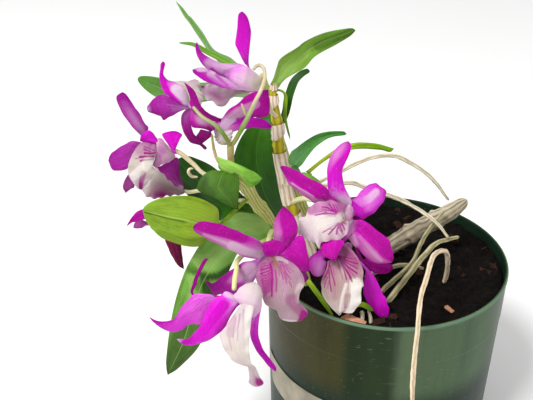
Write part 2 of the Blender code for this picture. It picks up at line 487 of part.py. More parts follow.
# Blooms: the heart of the flower, its tepals, its lip and its stalk back to the cane.
BLOOMS = {
    "bloom_top": dict(
        heart=[(-87, -28, 256), (-84, -28, 254), (-79, -28, 249)], heart_radii=[2.5, 5.0, 4.4],
        tepals=[
            tepal([(-86, -30, 268), (-87, -32, 279), (-87, -34, 290)], 8.5,
                  face=(-0.5, -0.8, 0.2), cup=(60, 20), base=0.25, peak=0.66),
            tepal([(-96, -34, 260), (-104, -38, 266), (-109, -40, 275)], 12,
                  face=(0.1, -0.8, 0.6), cup=(60, 40), peak=0.4, point=1.3, tip=0.05),
            tepal([(-95, -38, 256), (-103, -42, 260), (-112, -44, 262)], 13,
                  face=(0, -0.87, 0.4), cup=(-60, -30), peak=0.4, point=1.0, tip=0.1),
            tepal([(-98, -18, 252), (-108, -14, 252), (-114, -12, 248)], 11,
                  face=(0, 0.8, 0.5), cup=(50, 20)),
        ],
        lip=tepal([(-87, -27, 247), (-93, -25, 246), (-99, -22, 243), (-105, -20, 243)], 18,
                  face=(0, -0.5, 0.9), cup=(200, 60), base=0.5, peak=0.7, tip=0.5, wave=0.2),
        stalk=([(-83, -24, 255), (-81, -21, 257), (-78, -21, 259), (-74, -26, 258),
                (-73, -34, 253), (-76, -37, 248), (-84, -39, 237), (-88, -41, 229),
                (-94, -43, 221)], [1.1, 1.3, 1.4, 1.4, 1.5, 1.4, 1.4, 1.4], 14),
    ),
    "bloom_back": dict(
        heart=[(-113, -39, 242), (-114, -36, 242)], heart_radii=[2.6, 3.6],
        tepals=[
            tepal([(-121, -39, 248), (-126, -40, 253), (-129, -40, 259), (-127, -38, 266)], 14,
                  face=BACK, cup=(50, 120), peak=0.35, tip=0.14, point=2.0),
            tepal([(-126, -39, 242), (-135, -42, 242)], 12, face=BACK,
                  cup=(40, 30), peak=0.6, tip=0.45),
            tepal([(-118, -36, 231), (-116, -36, 222), (-107, -35, 216)], 8,
                  face=BACK, cup=(60, 80), tip=0.2),
            tepal([(-106, -33, 231), (-106, -31, 223), (-111, -30, 216)], 11,
                  face=BACK, cup=(60, 50)),
            tepal([(-113, -41, 249), (-117, -42, 256)], 7, face=(0.8, 0.4, 0.4), cup=(30, 20)),
            tepal([(-106, -35, 239), (-99, -33, 234)], 7, face=(0.4, 0.4, 0.8), cup=(30, 20)),
        ],
        lip=tepal([(-114, -34, 242), (-115, -25, 245), (-117, -16, 248)], 17,
                  face=(0, 0.4, -0.9), cup=(150, 50), base=0.3, peak=0.6, tip=0.4, wave=0.15),
        stalk=([(-113, -40, 242), (-108, -46, 239), (-101, -48, 235), (-97, -47, 229),
                (-94, -43, 221)], [1.0, 1.1, 1.2, 1.4], 8),
    ),
    "bloom_left": dict(
        heart=[(-128, -43, 218), (-131, -44, 219)], heart_radii=[3.2, 3.8],
        tepals=[
            tepal([(-138, -46, 230), (-144, -46, 240), (-149, -44, 251)], 10.5,
                  cup=(60, 40), peak=0.6, tip=0.3),
            tepal([(-142, -47, 219), (-150, -47, 217), (-158, -45, 214)], 14,
                  cup=(40, 30), peak=0.6, tip=0.3),
            tepal([(-125, -39, 223), (-122, -36, 227)], 11, cup=(50, 60), peak=0.7, tip=0.5),
            tepal([(-134, -47, 226), (-136, -50, 229)], 9, cup=(60, 60), peak=0.6, tip=0.4),
            tepal([(-142, -40, 206), (-149, -38, 197), (-154, -36, 191)], 9, cup=(40, 20)),
        ],
        lip=tepal([(-133, -51, 218), (-138, -57, 218), (-142, -58, 212), (-140, -55, 202)], 19,
                  face=(-0.5, -0.8, 0.3), cup=(170, 60), base=0.7, peak=0.55, tip=0.3, wave=0.15),
        stalk=([(-128, -42, 218), (-122, -40, 216), (-115, -39, 209), (-108, -41, 203),
                (-98, -42, 203), (-91, -41, 204)], [1.3, 1.4, 1.3, 1.4], 9),
    ),
    "bloom_behind": dict(
        heart=[(-89, -21, 228), (-91, -24, 228)], heart_radii=[3.2, 3.8],
        tepals=[
            tepal([(-82, -18, 232), (-74, -14, 229)], 13, cup=(40, 30), tip=0.3),
            tepal([(-81, -23, 226), (-72, -20, 222)], 10, cup=(50, 30)),
            tepal([(-85, -15, 234), (-81, -12, 239)], 12, cup=(40, 30), tip=0.3),
            tepal([(-97, -22, 231), (-102, -20, 227), (-105, -19, 225)], 11, cup=(40, 30)),
            tepal([(-94, -22, 220), (-97, -21, 213)], 12, cup=(40, 30), tip=0.3),
        ],
        lip=tepal([(-91, -26, 227), (-96, -32, 223), (-101, -32, 215)], 13, cup=(150, 50),
                  base=0.3, peak=0.6, tip=0.4),
        stalk=([(-89, -21, 228), (-87, -12, 233), (-80, -8, 238), (-75, -6, 234), (-73, -3, 225),
                (-69, 1, 218)], [1.2, 1.3, 1.3, 1.4], 9),
    ),
    "bloom_small_left": dict(
        heart=[(-121, -38, 192), (-124, -39, 194)], heart_radii=[3.0, 3.6],
        tepals=[
            tepal([(-128, -37, 203), (-131, -35, 209)], 14, cup=(40, 30), peak=0.7, tip=0.5),
            tepal([(-122, -35, 201), (-121, -32, 208)], 11, cup=(40, 30), peak=0.7, tip=0.4),
            tepal([(-134, -36, 188), (-142, -35, 184)], 8, cup=(40, 30)),
        ],
        lip=tepal([(-126, -43, 194), (-132, -46, 197), (-141, -46, 198)], 20,
                  face=(-0.4, -0.8, 0.5), cup=(110, 40), base=0.45, peak=0.65, tip=0.5, wave=0.15),
        stalk=([(-121, -38, 191), (-117, -37, 190), (-111, -37, 191), (-98, -38, 193),
                (-86, -38, 192)], [1.2, 1.2, 1.2, 1.3], 7),
    ),
    "bloom_under_leaf": dict(
        heart=[(-129, -37, 171), (-131, -39, 171)], heart_radii=[3.0, 3.4],
        tepals=[
            tepal([(-140, -42, 178), (-152, -43, 173)], 12, cup=(50, 40)),
            tepal([(-129, -38, 156), (-124, -36, 139)], 9, cup=(60, 40)),
            tepal([(-139, -37, 172), (-147, -37, 168)], 9, cup=(40, 30)),
        ],
        lip=tepal([(-131, -41, 171), (-134, -47, 173), (-139, -50, 176)], 9, cup=(120, 50),
                  base=0.6, peak=0.6, tip=0.4),
        stalk=([(-129, -37, 171), (-120, -31, 173), (-106, -28, 176), (-92, -29, 180),
                (-80, -33, 181)], [1.2, 1.2, 1.3, 1.4], 8),
    ),
    "bloom_middle": dict(
        heart=[(-74, -54, 162), (-74, -64, 166)], heart_radii=[4.0, 4.2],
        tepals=[
            tepal([(-89, -71, 180), (-101, -76, 188), (-112, -78, 193)], 11,
                  cup=(30, 70), peak=0.5, tip=0.25),
            tepal([(-68, -66, 181), (-66, -65, 197)], 13, cup=(50, 40),
                  peak=0.45),
            tepal([(-77, -69, 174), (-77, -73, 177)], 9, cup=(40, 40), tip=0.4),
            tepal([(-64, -69, 173), (-57, -74, 172), (-53, -76, 163)], 16,
                  cup=(30, 50), peak=0.55),
            tepal([(-83, -66, 161), (-91, -68, 157), (-100, -69, 154), (-108, -69, 153)], 15,
                  cup=(40, 50), peak=0.4, tip=0.06),
            tepal([(-66, -59, 157), (-59, -57, 151), (-50, -57, 144)], 10, cup=(40, 30)),
        ],
        lip=tepal([(-74, -71, 167), (-71, -80, 168), (-68, -88, 158), (-61, -87, 147),
                   (-56, -82, 140)], 25, face=(0.1, -0.5, 0.85), cup=(190, 50), base=0.6,
                  peak=0.55, tip=0.35, wave=0.12),
        stalk=([(-74, -56, 163), (-74, -46, 164), (-72, -31, 162)], [1.6, 1.6, 1.8], 4),
    ),
    "bloom_low_left": dict(
        heart=[(-79, -90, 161), (-85, -92, 160)], heart_radii=[4.6, 4.6],
        tepals=[
            tepal([(-95, -89, 154), (-107, -88, 149), (-120, -88, 138), (-128, -86, 136),
                   (-137, -84, 140)], 15, cup=(50, 60), base=0.3, peak=0.4, tip=0.05, point=1.2),
            tepal([(-93, -97, 157), (-100, -101, 153), (-110, -104, 143), (-121, -102, 140)], 15,
                  cup=(60, 50), base=0.3, peak=0.4, tip=0.05, point=1.2),
            tepal([(-95, -85, 155), (-106, -81, 152), (-112, -79, 158), (-106, -77, 174)], 7,
                  face=(-0.8, 0.2, -0.5), cup=(20, 20), tip=0.2),
            tepal([(-81, -94, 143), (-77, -94, 129), (-69, -94, 112)], 7.5,
                  face=(0.7, -0.6, 0.2), cup=(60, 60), peak=0.3),
        ],
        lip=tepal([(-85, -99, 157), (-89, -106, 148), (-89, -104, 132), (-85, -99, 116),
                   (-79, -94, 102)], 20, face=(-0.4, -0.8, 0.2), cup=(170, 90), base=0.5,
                  peak=0.45, tip=0.3, point=3.2),
        stalk=([(-84, -90, 160), (-89, -83, 163), (-88, -74, 168), (-86, -62, 169),
                (-80, -46, 160), (-70, -27, 156)], [1.4, 1.5, 1.5, 1.4, 1.5], 8),
    ),
    "bloom_right": dict(
        heart=[(-26, -40, 179), (-32, -45, 182)], heart_radii=[3.6, 4.2],
        tepals=[
            tepal([(-37, -49, 199), (-39, -50, 213), (-33, -47, 225)], 9,
                  cup=(50, 50), base=0.6, peak=0.6, tip=0.2),
            tepal([(-48, -50, 196), (-57, -50, 204), (-67, -46, 210)], 9.5,
                  cup=(60, 70), base=0.6, peak=0.4, tip=0.1),
            tepal([(-22, -43, 186), (-15, -41, 191), (-10, -39, 195)], 12,
                  cup=(50, 30), peak=0.7, tip=0.45),
            tepal([(-19, -51, 170), (-6, -51, 158)], 16, cup=(40, 20), peak=0.6, tip=0.45),
            tepal([(-18, -41, 160), (-4, -41, 143)], 12, cup=(40, 30), tip=0.3),
        ],
        lip=tepal([(-37, -52, 183), (-43, -60, 185), (-50, -61, 182), (-58, -56, 177)], 27,
                  face=(-0.3, -0.8, 0.5), cup=(130, 50), base=0.6, peak=0.45, tip=0.35, wave=0.12),
        stalk=([(-29, -41, 180), (-42, -28, 178), (-51, -18, 175), (-56, -10, 170),
                (-61, -3, 163)], [1.4, 1.8, 1.8, 1.8], 7),
    ),
    "bloom_low_right": dict(
        heart=[(-28, -40, 157), (-31, -48, 160)], heart_radii=[3.4, 3.6],
        tepals=[
            tepal([(-37, -60, 170), (-40, -68, 171), (-39, -71, 165)], 12,
                  cup=(40, 50), peak=0.6),
            tepal([(-42, -51, 158), (-48, -53, 150), (-47, -54, 145)], 12,
                  cup=(50, 50), peak=0.6, tip=0.3),
            tepal([(-20, -51, 145), (-13, -56, 134), (-7, -58, 122)], 10,
                  cup=(50, 30), peak=0.6),
            tepal([(-38, -42, 149), (-43, -40, 142)], 8, cup=(40, 30)),
        ],
        lip=tepal([(-31, -51, 155), (-32, -58, 152), (-34, -67, 147), (-33, -65, 128)], 24,
                  face=(0.2, -0.8, 0.6), cup=(120, 50), base=0.25, peak=0.5, tip=0.25, wave=0.12),
        stalk=([(-30, -42, 157), (-40, -24, 152), (-53, -5, 146)], [1.4, 1.7, 1.8], 5),
    ),
}

# The old beige stalk that carries the top blooms is one growth with their stalks.
spray = [
    tube("spray_stalk", [(-94, -43, 206), (-94, -43, 214), (-94, -43, 222)], [1.9, 1.8, 2.0], 3, 1),
    tube("dry_stalk", [(-104, -37, 225), (-103, -38, 216), (-100, -41, 210), (-94, -43, 212)],
         [0.6, 0.8, 0.8], 5, 0),
    tube("bract", [(-88, -38, 243), (-86, -39, 238), (-85, -39, 236)], [0.5, 0.9, 0.9], 3, 0),
]
ON_SPRAY = ("bloom_top", "bloom_back")

for name, bloom in BLOOMS.items():
    heart = tube(name + "_heart", bloom["heart"], bloom["heart_radii"], 3, 2)
    heart_seat = tube(name + "_seat", bloom["heart"], bloom["heart_radii"], 3, 2, GAP + 0.1)
    cutter(heart_seat)
    for kind in bloom["tepals"]:
        kind["points"] = [bloom["heart"][-1], *kind["points"]]
    tepals = [blade(f"{name}_{i}", **kind) for i, kind in enumerate(bloom["tepals"])]
    flower = union(name + "_tepals", [heart, *tepals])
    finish(flower, TEPAL)
    lip = blade(name + "_lip", rows=6, columns=6, **bloom["lip"])
    cut(lip, [heart_seat])
    finish(lip, LIP)
    path, radii, steps = bloom["stalk"]
    stalk = tube(name + "_stalk", path, radii, steps, 1)
    cut(stalk, [heart_seat])
    if name in ON_SPRAY:
        spray.append(stalk)
    else:
        cut(stalk, [old_seat if name in ("bloom_behind", "bloom_right", "bloom_low_right")
                    else green_seat])
        finish(stalk, STALK)

spray = union("spray_stalk", spray)
cut(spray, [green_seat])
finish(spray, STALK)
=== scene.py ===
# %% [markdown]
# # A dendrobium orchid in its nursery pot
#
# The plant is a soft-cane dendrobium: long fleshy canes in papery sheaths, strap leaves, pale
# aerial roots and magenta flowers, each with five tepals round a pale, veined lip. The packed
# solids give every piece its size and place. This lesson replaces them one by one with finer
# skins, and gives each skin the finish of the real tissue.

# %% Load the fixed frame
import math
import random

import bmesh
import bpy
import numpy as np
from mathutils import Euler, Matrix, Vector, noise


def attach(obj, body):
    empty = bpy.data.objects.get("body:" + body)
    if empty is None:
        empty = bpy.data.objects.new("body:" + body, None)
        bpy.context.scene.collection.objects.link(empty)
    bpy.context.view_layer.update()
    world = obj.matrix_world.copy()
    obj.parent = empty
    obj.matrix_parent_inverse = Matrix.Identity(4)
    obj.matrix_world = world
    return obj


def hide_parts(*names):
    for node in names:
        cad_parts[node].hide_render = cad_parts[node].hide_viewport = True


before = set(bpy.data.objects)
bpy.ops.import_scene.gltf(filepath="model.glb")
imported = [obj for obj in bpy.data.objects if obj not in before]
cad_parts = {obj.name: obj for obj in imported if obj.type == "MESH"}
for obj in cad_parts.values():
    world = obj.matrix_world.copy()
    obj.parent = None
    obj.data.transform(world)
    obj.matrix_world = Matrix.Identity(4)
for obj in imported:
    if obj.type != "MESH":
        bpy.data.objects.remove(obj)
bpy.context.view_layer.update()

MM = 0.001
FRONT = (0.0, -0.87, 0.49)  # towards the camera
STEM_FACE = (0.31, -0.87, 0.38)  # where the seam of a round stem starts from
POT_HEIGHT = 125.0
RIM_RADIUS = 75.0
BAND_HEIGHT = 28.0
FLOOR = 2.4
MIX_TOP = 119.0
TEPAL_THICKNESS, LIP_THICKNESS, LEAF_THICKNESS = 0.7, 0.8, 0.9
SHEATH_THICKNESS, PAPER_THICKNESS = 0.35, 0.5
STEPS = 160  # places kept along each course

# %% [markdown]
# ## The camera
#
# The photograph looks down on the plant by about thirty degrees, with a normal lens. The camera
# comes first, because the outlines of the petals are easiest to read off in the picture plane: so
# many across and so many down, with a depth for each. The seen function gives the real place, in
# millimetres, that the camera sees there at that depth from the pot's axis.

# %% Set the camera
TILT = math.radians(29.5)
EYE = np.array([-75.0, -435.2, 410.2])
LENS, SENSOR = 55.79, 36
FRAME = (533, 400)
AHEAD = np.array([0, math.cos(TILT), -math.sin(TILT)])
UP = np.array([0, math.sin(TILT), math.cos(TILT)])
camera = bpy.data.objects.new("camera", bpy.data.cameras.new("camera"))
bpy.context.scene.collection.objects.link(camera)
camera.data.sensor_width = SENSOR
camera.data.lens = LENS
camera.data.dof.use_dof = False
camera.data.clip_end = 30
camera.location = EYE * MM
camera.rotation_euler = (math.radians(90) - TILT, 0, 0)
bpy.context.scene.camera = camera
print("camera at", list(camera.location), "lens", LENS)


def seen(across, down, depth):
    """The place, in millimetres, behind a point of the frame at this distance along Y."""
    scale = LENS / SENSOR * FRAME[0]
    ray = AHEAD + np.array([1, 0, 0]) * (across - FRAME[0] / 2) / scale
    ray = ray + UP * (FRAME[1] / 2 - down) / scale
    return EYE + ray * (depth - EYE[1]) / ray[1]


def in_frame(place):
    """Where a place, in millimetres, shows in the frame."""
    ray = np.array(place) - EYE
    scale = LENS / SENSOR * FRAME[0] / (ray @ AHEAD)
    return np.array([FRAME[0] / 2 + scale * ray[0], FRAME[1] / 2 - scale * (ray @ UP)])


# %% [markdown]
# ## Colours and nodes
#
# Colours are picked as sRGB hex values, as a painter would name them, and one function turns
# them into the linear light values that the shader works in. One more function adds a node with
# its settings and links, so that each finish below reads as a short recipe.

# %% Helpers for every finish
def linear(text):
    """An sRGB hex colour as linear red, green, blue and alpha."""
    parts = [int(text[i:i + 2], 16) / 255 for i in (1, 3, 5)]
    return [c / 12.92 if c <= 0.04045 else ((c + 0.055) / 1.055) ** 2.4 for c in parts] + [1.0]


def add(tree, kind, inputs=None, **settings):
    """Adds a node, its settings and its sockets: a socket in inputs is linked, a value is set."""
    node = tree.nodes.new("ShaderNode" + kind)
    for name, value in settings.items():
        setattr(node, name, value)
    for socket, value in (inputs or {}).items():
        if isinstance(value, bpy.types.NodeSocket):
            tree.links.new(value, node.inputs[socket])
        else:
            node.inputs[socket].default_value = value
    return node


def finish_of(name):
    """A new material with its tree, its Principled shader and nothing else."""
    made = bpy.data.materials.new(name)
    made.use_nodes = True
    return made, made.node_tree, made.node_tree.nodes["Principled BSDF"]


def ramp(tree, factor, *stops):
    """A colour ramp through (place, hex colour) stops."""
    node = add(tree, "ValToRGB", {"Fac": factor})
    band = node.color_ramp
    while len(band.elements) < len(stops):
        band.elements.new(0.5)
    for element, (place, colour) in zip(band.elements, stops):
        element.position = place
        element.color = linear(colour)
    return node.outputs["Color"]


def sums(tree, operation, *values, clamp=False):
    """A Math node on sockets or numbers."""
    return add(tree, "Math", dict(enumerate(values)), operation=operation,
               use_clamp=clamp).outputs[0]


def past(tree, value, start, gain):
    """How far a value is past a start, times a gain, held between 0 and 1."""
    return sums(tree, "MULTIPLY", sums(tree, "SUBTRACT", value, start), gain, clamp=True)


def wash(tree, paint, mask, share, coat, mode="MIX"):
    """A coat of colour over the paint, where the mask is, at this share of full strength.

    Sockets 6 and 7 of the Mix node are its two colours.
    """
    factor = mask if share == 1 else sums(tree, "MULTIPLY", mask, share)
    coat = linear(coat) if isinstance(coat, str) else coat
    return add(tree, "Mix", {0: factor, 6: paint, 7: coat}, data_type="RGBA",
               blend_type=mode).outputs[2]


def speckle(tree, scale, detail=3.0, rough=0.55, stretch=(1, 1, 1)):
    """Noise in the object's own space. scale counts blotches in a metre."""
    space = add(tree, "TexCoord").outputs["Object"]
    space = add(tree, "Mapping", {"Vector": space, "Scale": stretch}).outputs[0]
    return add(tree, "TexNoise", {"Vector": space, "Scale": scale, "Detail": detail,
                                  "Roughness": rough}).outputs["Fac"]


def painted(tree):
    """The strokes and patches painted on a skin: 0.5 where it is bare."""
    return add(tree, "Attribute", attribute_name="deep").outputs["Fac"]


def dress(tree, shader, paint, relief=None, depth=0.0, strength=1.0, **values):
    """The end of a recipe: colour, relief this many millimetres deep, and constants.

    The constants are set straight on the shader's sockets. Underscores stand for spaces.
    """
    tree.links.new(paint, shader.inputs["Base Color"])
    if relief:
        node = add(tree, "Bump", {"Height": relief, "Distance": depth * MM,
                                  "Strength": strength})
        tree.links.new(node.outputs[0], shader.inputs["Normal"])
    for socket, value in values.items():
        shader.inputs[socket.replace("_", " ")].default_value = value


# %% [markdown]
# ## Tepals
#
# A tepal is a thin, soft sheet of cells full of pigment. Light shines through it, so it glows
# pale at the thin base and deepens towards the tip. Where single cells catch the light its surface
# sparkles; here that sparkle is painted on, as pale painted glints and streaks of painted sheen.
# Fine veins run its whole length. The pattern follows the tepal's own UV map: u runs across, v
# runs from the heart to the tip. A "deep" attribute, one value for each point of the skin, says
# where it is painted darker or paler.

# %% Tepal finish
VEINS_ACROSS = 22


def across_along(tree):
    """The sockets of u and v, and the distance from the midline: 0 there, 1 at the edge."""
    uv = add(tree, "TexCoord").outputs["UV"]
    split = add(tree, "SeparateXYZ", {0: uv})
    off = sums(tree, "ABSOLUTE", sums(tree, "MULTIPLY_ADD", split.outputs[0], 2.0, -1.0))
    return split.outputs[0], split.outputs[1], off


def lines(tree, value, count, wander=0.0, scale=900.0):
    """Even lines, as a wave between 0 and 1, pushed about by noise."""
    turn = sums(tree, "MULTIPLY", value, count * 2 * math.pi)
    if wander:
        drift = sums(tree, "MULTIPLY", speckle(tree, scale, 2.0), wander)
        turn = sums(tree, "ADD", turn, drift)
    return sums(tree, "MULTIPLY_ADD", sums(tree, "SINE", turn), 0.5, 0.5)


def streaks(tree, across, along, detail=4.0):
    """Noise drawn out along a blade: this many streaks across it and patches along it."""
    uv = add(tree, "TexCoord").outputs["UV"]
    shift = add(tree, "CombineXYZ", {2: sums(tree, "MULTIPLY", painted(tree), 37.0)}).outputs[0]
    spot = add(tree, "Mapping", {"Vector": uv, "Location": shift, "Scale": (across, along, 1)})
    return add(tree, "TexNoise", {"Vector": spot.outputs[0], "Scale": 1.0, "Detail": detail,
                                  "Roughness": 0.6}).outputs["Fac"]


def band(tree, value, start, stop):
    """0 at start, 1 at stop, smooth between them, on a socket."""
    return add(tree, "MapRange", {0: value, 1: start, 2: stop},
               interpolation_type="SMOOTHSTEP").outputs[0]


def tepal_finish(name, heart, pale, body, tip, reach=0.3, lined=0.42):
    """Tepal tissue: soft and glowing. reach is how far its pale base runs, lined its veins."""
    made, tree, shader = finish_of(name)
    u, v, off = across_along(tree)
    # Colour reaches towards the heart in streaks, further at the margins than along the midrib.
    streak = sums(tree, "MULTIPLY_ADD", streaks(tree, 18, 1.5), 0.8, -0.4)
    drift = sums(tree, "MULTIPLY_ADD", speckle(tree, 110, 2), 0.3, -0.15)
    place = sums(tree, "ADD", sums(tree, "ADD", v, streak), drift)
    place = sums(tree, "MULTIPLY_ADD", sums(tree, "POWER", off, 2.0), 0.16, place)
    paint = ramp(tree, place, (0.03, heart), (reach * 0.6, pale), (reach + 0.16, body),
                 (0.95, tip))
    deep = painted(tree)
    paint = wash(tree, paint, past(tree, deep, 0.5, 1.7), 1, tip)
    paint = wash(tree, paint, past(tree, deep, 0.5, -1.9), 1, heart)
    veins = band(tree, lines(tree, u, VEINS_ACROSS, 3.0), 0.45, 1.0)
    paint = wash(tree, paint, veins, lined, "#C070BC", "MULTIPLY")
    # Painted highlights: single cells glitter in rows as a fine pale grain of painted glints, drawn
    # near 0.5 mm so that it shows, over longer streaks of painted sheen.
    grain = speckle(tree, 1500, 2.0, 0.75)
    rows = band(tree, streaks(tree, 12, 2.5), 0.42, 0.66)
    painted_sheen = band(tree, streaks(tree, 22, 1.3, 7.0), 0.52, 0.74)
    paint = wash(tree, paint, painted_sheen, 0.4, "#86488A", "SCREEN")
    painted_glint = sums(tree, "MULTIPLY", band(tree, grain, 0.54, 0.72), rows)
    paint = wash(tree, paint, painted_glint, 0.7, "#9A649C", "SCREEN")
    relief = sums(tree, "ADD", veins, sums(tree, "MULTIPLY", grain, 0.8))
    dress(tree, shader, paint, relief, 0.16, Roughness=0.46, IOR=1.36, Specular_IOR_Level=0.16,
          Subsurface_Weight=0.06, Subsurface_Scale=0.0006)
    return made


# Painted light and shade: the sunlit look is painted warm pink, as if lit from behind, and the
# shaded look violet and dull, as if in shade; from behind, crimson to wine. The last three are
# the pale waxy tissue of the column and the chins.
TEPALS = {
    "sunlit": tepal_finish("Sunlit_tepal_tissue", "#F2D6EE", "#F08CEC", "#E416D8", "#D600C4", 0.28),
    "lilac": tepal_finish("Lilac_tepal_tissue", "#F0DAEC", "#EFA6EC", "#E062DA", "#CC12C0", 0.42),
    "vivid": tepal_finish("Vivid_tepal_tissue", "#F2D2EC", "#F09CEC", "#EA2CDE", "#D202C4", 0.26),
    "clear": tepal_finish("Clear_magenta_tepal_tissue", "#E4C0DA", "#DC70D0", "#D00EB6",
                          "#B20096", 0.24),
    "shaded": tepal_finish("Shaded_tepal_tissue", "#D2A8C8", "#C27CC0", "#AE36A4", "#9C0A8E", 0.28),
    "crimson": tepal_finish("Dark_back_tepal_tissue", "#C868BC", "#B23CA8", "#A40A8C", "#840668",
                            0.2),
    "wine": tepal_finish("Wine_red_tepal_tissue", "#921452", "#8A0E4E", "#7C0A42", "#680632", 0.2),
    "blush": tepal_finish("Blush_column_tissue", "#DCC4BC", "#D8B0C2", "#D096BE", "#C478B4", 0.3,
                          0.1),
    "cream": tepal_finish("Cream_chin_tissue", "#E4DAD4", "#DACCC8", "#D8C4CA", "#D8A6CE", 0.3,
                          0.04),
    "chin": tepal_finish("Beige_chin_tissue", "#DAD8A6", "#D8CCBE", "#DDB6D2", "#DE74DA", 0.34,
                         0.04),
}
print("tepal finishes:", list(TEPALS))

# %% [markdown]
# ## Lips
#
# The lip is the landing place for insects. It is velvety white or blush, with magenta nectar
# guides round an olive throat. No formula lays out veins as freely as the plant does, so they are
# drawn: each is a stroke of a few chosen points, and the skin keeps the ink as its "deep"
# attribute. The finish turns the ink to magenta, and anything below half to white.

# %% Lip finish
def lip_finish(name, throat, upper, ground, end, middle=0.5, vein="#980678"):
    """Velvety lip tissue: its colours from throat to end, and the colour of its guides."""
    made, tree, shader = finish_of(name)
    u, v, off = across_along(tree)
    wobble = sums(tree, "MULTIPLY_ADD", streaks(tree, 9, 2, 3.0), 0.4, -0.2)
    paint = ramp(tree, sums(tree, "ADD", v, wobble), (0.04, throat), (0.2, upper),
                 (0.55, ground), (0.95, end))
    away = sums(tree, "ABSOLUTE", sums(tree, "SUBTRACT", u, middle))
    pit = sums(tree, "MULTIPLY", band(tree, v, 0.4, 0.26), band(tree, away, 0.14, 0.04))
    paint = wash(tree, paint, pit, 1, throat)
    fine = band(tree, lines(tree, u, 24, 2.4), 0.4, 1.0)
    paint = wash(tree, paint, fine, 0.22, "#B98FA8", "MULTIPLY")
    paint = wash(tree, paint, band(tree, streaks(tree, 6, 4), 0.5, 0.75), 0.35, "#D9A6CE")
    deep = painted(tree)
    paint = wash(tree, paint, past(tree, deep, 0.5, -1.9), 1, "#EDE5DE")
    paint = wash(tree, paint, past(tree, deep, 0.5, 2.3), 1, vein)
    # The velvet is cells well under a millimetre wide.
    relief = sums(tree, "ADD", fine, speckle(tree, 1500, 2))
    dress(tree, shader, paint, relief, 0.14, Roughness=0.5, IOR=1.36, Specular_IOR_Level=0.25,
          Subsurface_Weight=0.05, Subsurface_Scale=0.0006)
    return made


# Painted light and shade: a lip painted as sunlit is nearly white, one painted as in shade a
# dusty mauve. Their guides are magenta, or darker.
LIPS = {
    "middle": lip_finish("Middle_lip_tissue", "#8A7048", "#A07692", "#AA8A92", "#B89CA4", 0.55),
    "right": lip_finish("Right_lip_tissue", "#94784E", "#CDACBC", "#EDE2DC", "#DEC2DA", 0.42,
                        "#AA0690"),
    "low_right": lip_finish("Low_right_lip_tissue", "#B070A2", "#A67C8C", "#AE928C", "#CFC4BA",
                            0.4, "#90046E"),
    "low_left": lip_finish("Low_left_lip_tissue", "#DACCCE", "#DCCCCE", "#E2D8CC", "#CDAEC0"),
    "left": lip_finish("Left_lip_tissue", "#B87CB6", "#BE98BA", "#BEB4A6", "#D6BECA"),
    "small": lip_finish("Small_lip_tissue", "#C9A7BC", "#B9A2A8", "#BFAEAC", "#D8CFC8"),
    "top": lip_finish("Top_lip_tissue", "#B59CA0", "#B89CA2", "#BCA2AC", "#D8BCD0"),
    "plain": lip_finish("Plain_lip_tissue", "#CDB8B4", "#D2C0BE", "#D8CCC6", "#CEB6BE"),
}
print("lip finishes:", list(LIPS))

# %% [markdown]
# ## Leaves, canes, stalks and roots
#
# A leaf is leathery and a little glossy, with a sunken midrib, fine parallel veins and mottled
# green. A cane is a smooth yellow or green stem; dead leaf bases wrap it in pale, striped paper.
# A flower stalk is smooth and waxy, greener where it grew in shade. An aerial root is coated in
# dry, spongy velamen: matt, cream to grey, with a skin of tiny wrinkles.

# %% Leaf finish
def leaf_finish(name, base, body, tip, rib, gloss=0.38):
    """Leathery leaf tissue, from the base colour through the body to the tip."""
    made, tree, shader = finish_of(name)
    u, v, off = across_along(tree)
    # Mottled by blotches of about 8 mm.
    mottle = speckle(tree, 130, 5, 0.62)
    place = sums(tree, "ADD", v, sums(tree, "MULTIPLY_ADD", mottle, 0.5, -0.25))
    paint = ramp(tree, place, (0.05, base), (0.45, body), (0.95, tip))
    veins = lines(tree, u, 15, 4.0, 180)
    paint = wash(tree, paint, veins, 0.14, "#8F9C50", "MULTIPLY")
    cloud = band(tree, streaks(tree, 5, 3, 5.0), 0.42, 0.75)
    paint = wash(tree, paint, cloud, 0.8, "#B9C078", "MULTIPLY")
    deep = painted(tree)
    # Strokes past half darken the leaf, for painted shadow and dark midribs; strokes below half
    # lighten it, for painted light.
    paint = wash(tree, paint, past(tree, deep, 0.5, 1.9), 1, "#5A6C2E", "MULTIPLY")
    paint = wash(tree, paint, past(tree, deep, 0.5, -1.6), 1, "#86A05C", "SCREEN")
    # Pale spots of dust, the midrib and a darker rim.
    paint = wash(tree, paint, past(tree, speckle(tree, 800, 4, 0.75), 0.6, 3.5), 0.5, rib)
    paint = wash(tree, paint, band(tree, off, 0.05, 0.012), 0.35, rib)
    paint = wash(tree, paint, band(tree, off, 0.93, 1.0), 0.4, tip)
    relief = sums(tree, "ADD", sums(tree, "MULTIPLY", veins, 0.3),
                  sums(tree, "MULTIPLY", speckle(tree, 900, 3), 0.6))
    dress(tree, shader, paint, relief, 0.14, Roughness=gloss, IOR=1.45, Specular_IOR_Level=0.22)
    return made


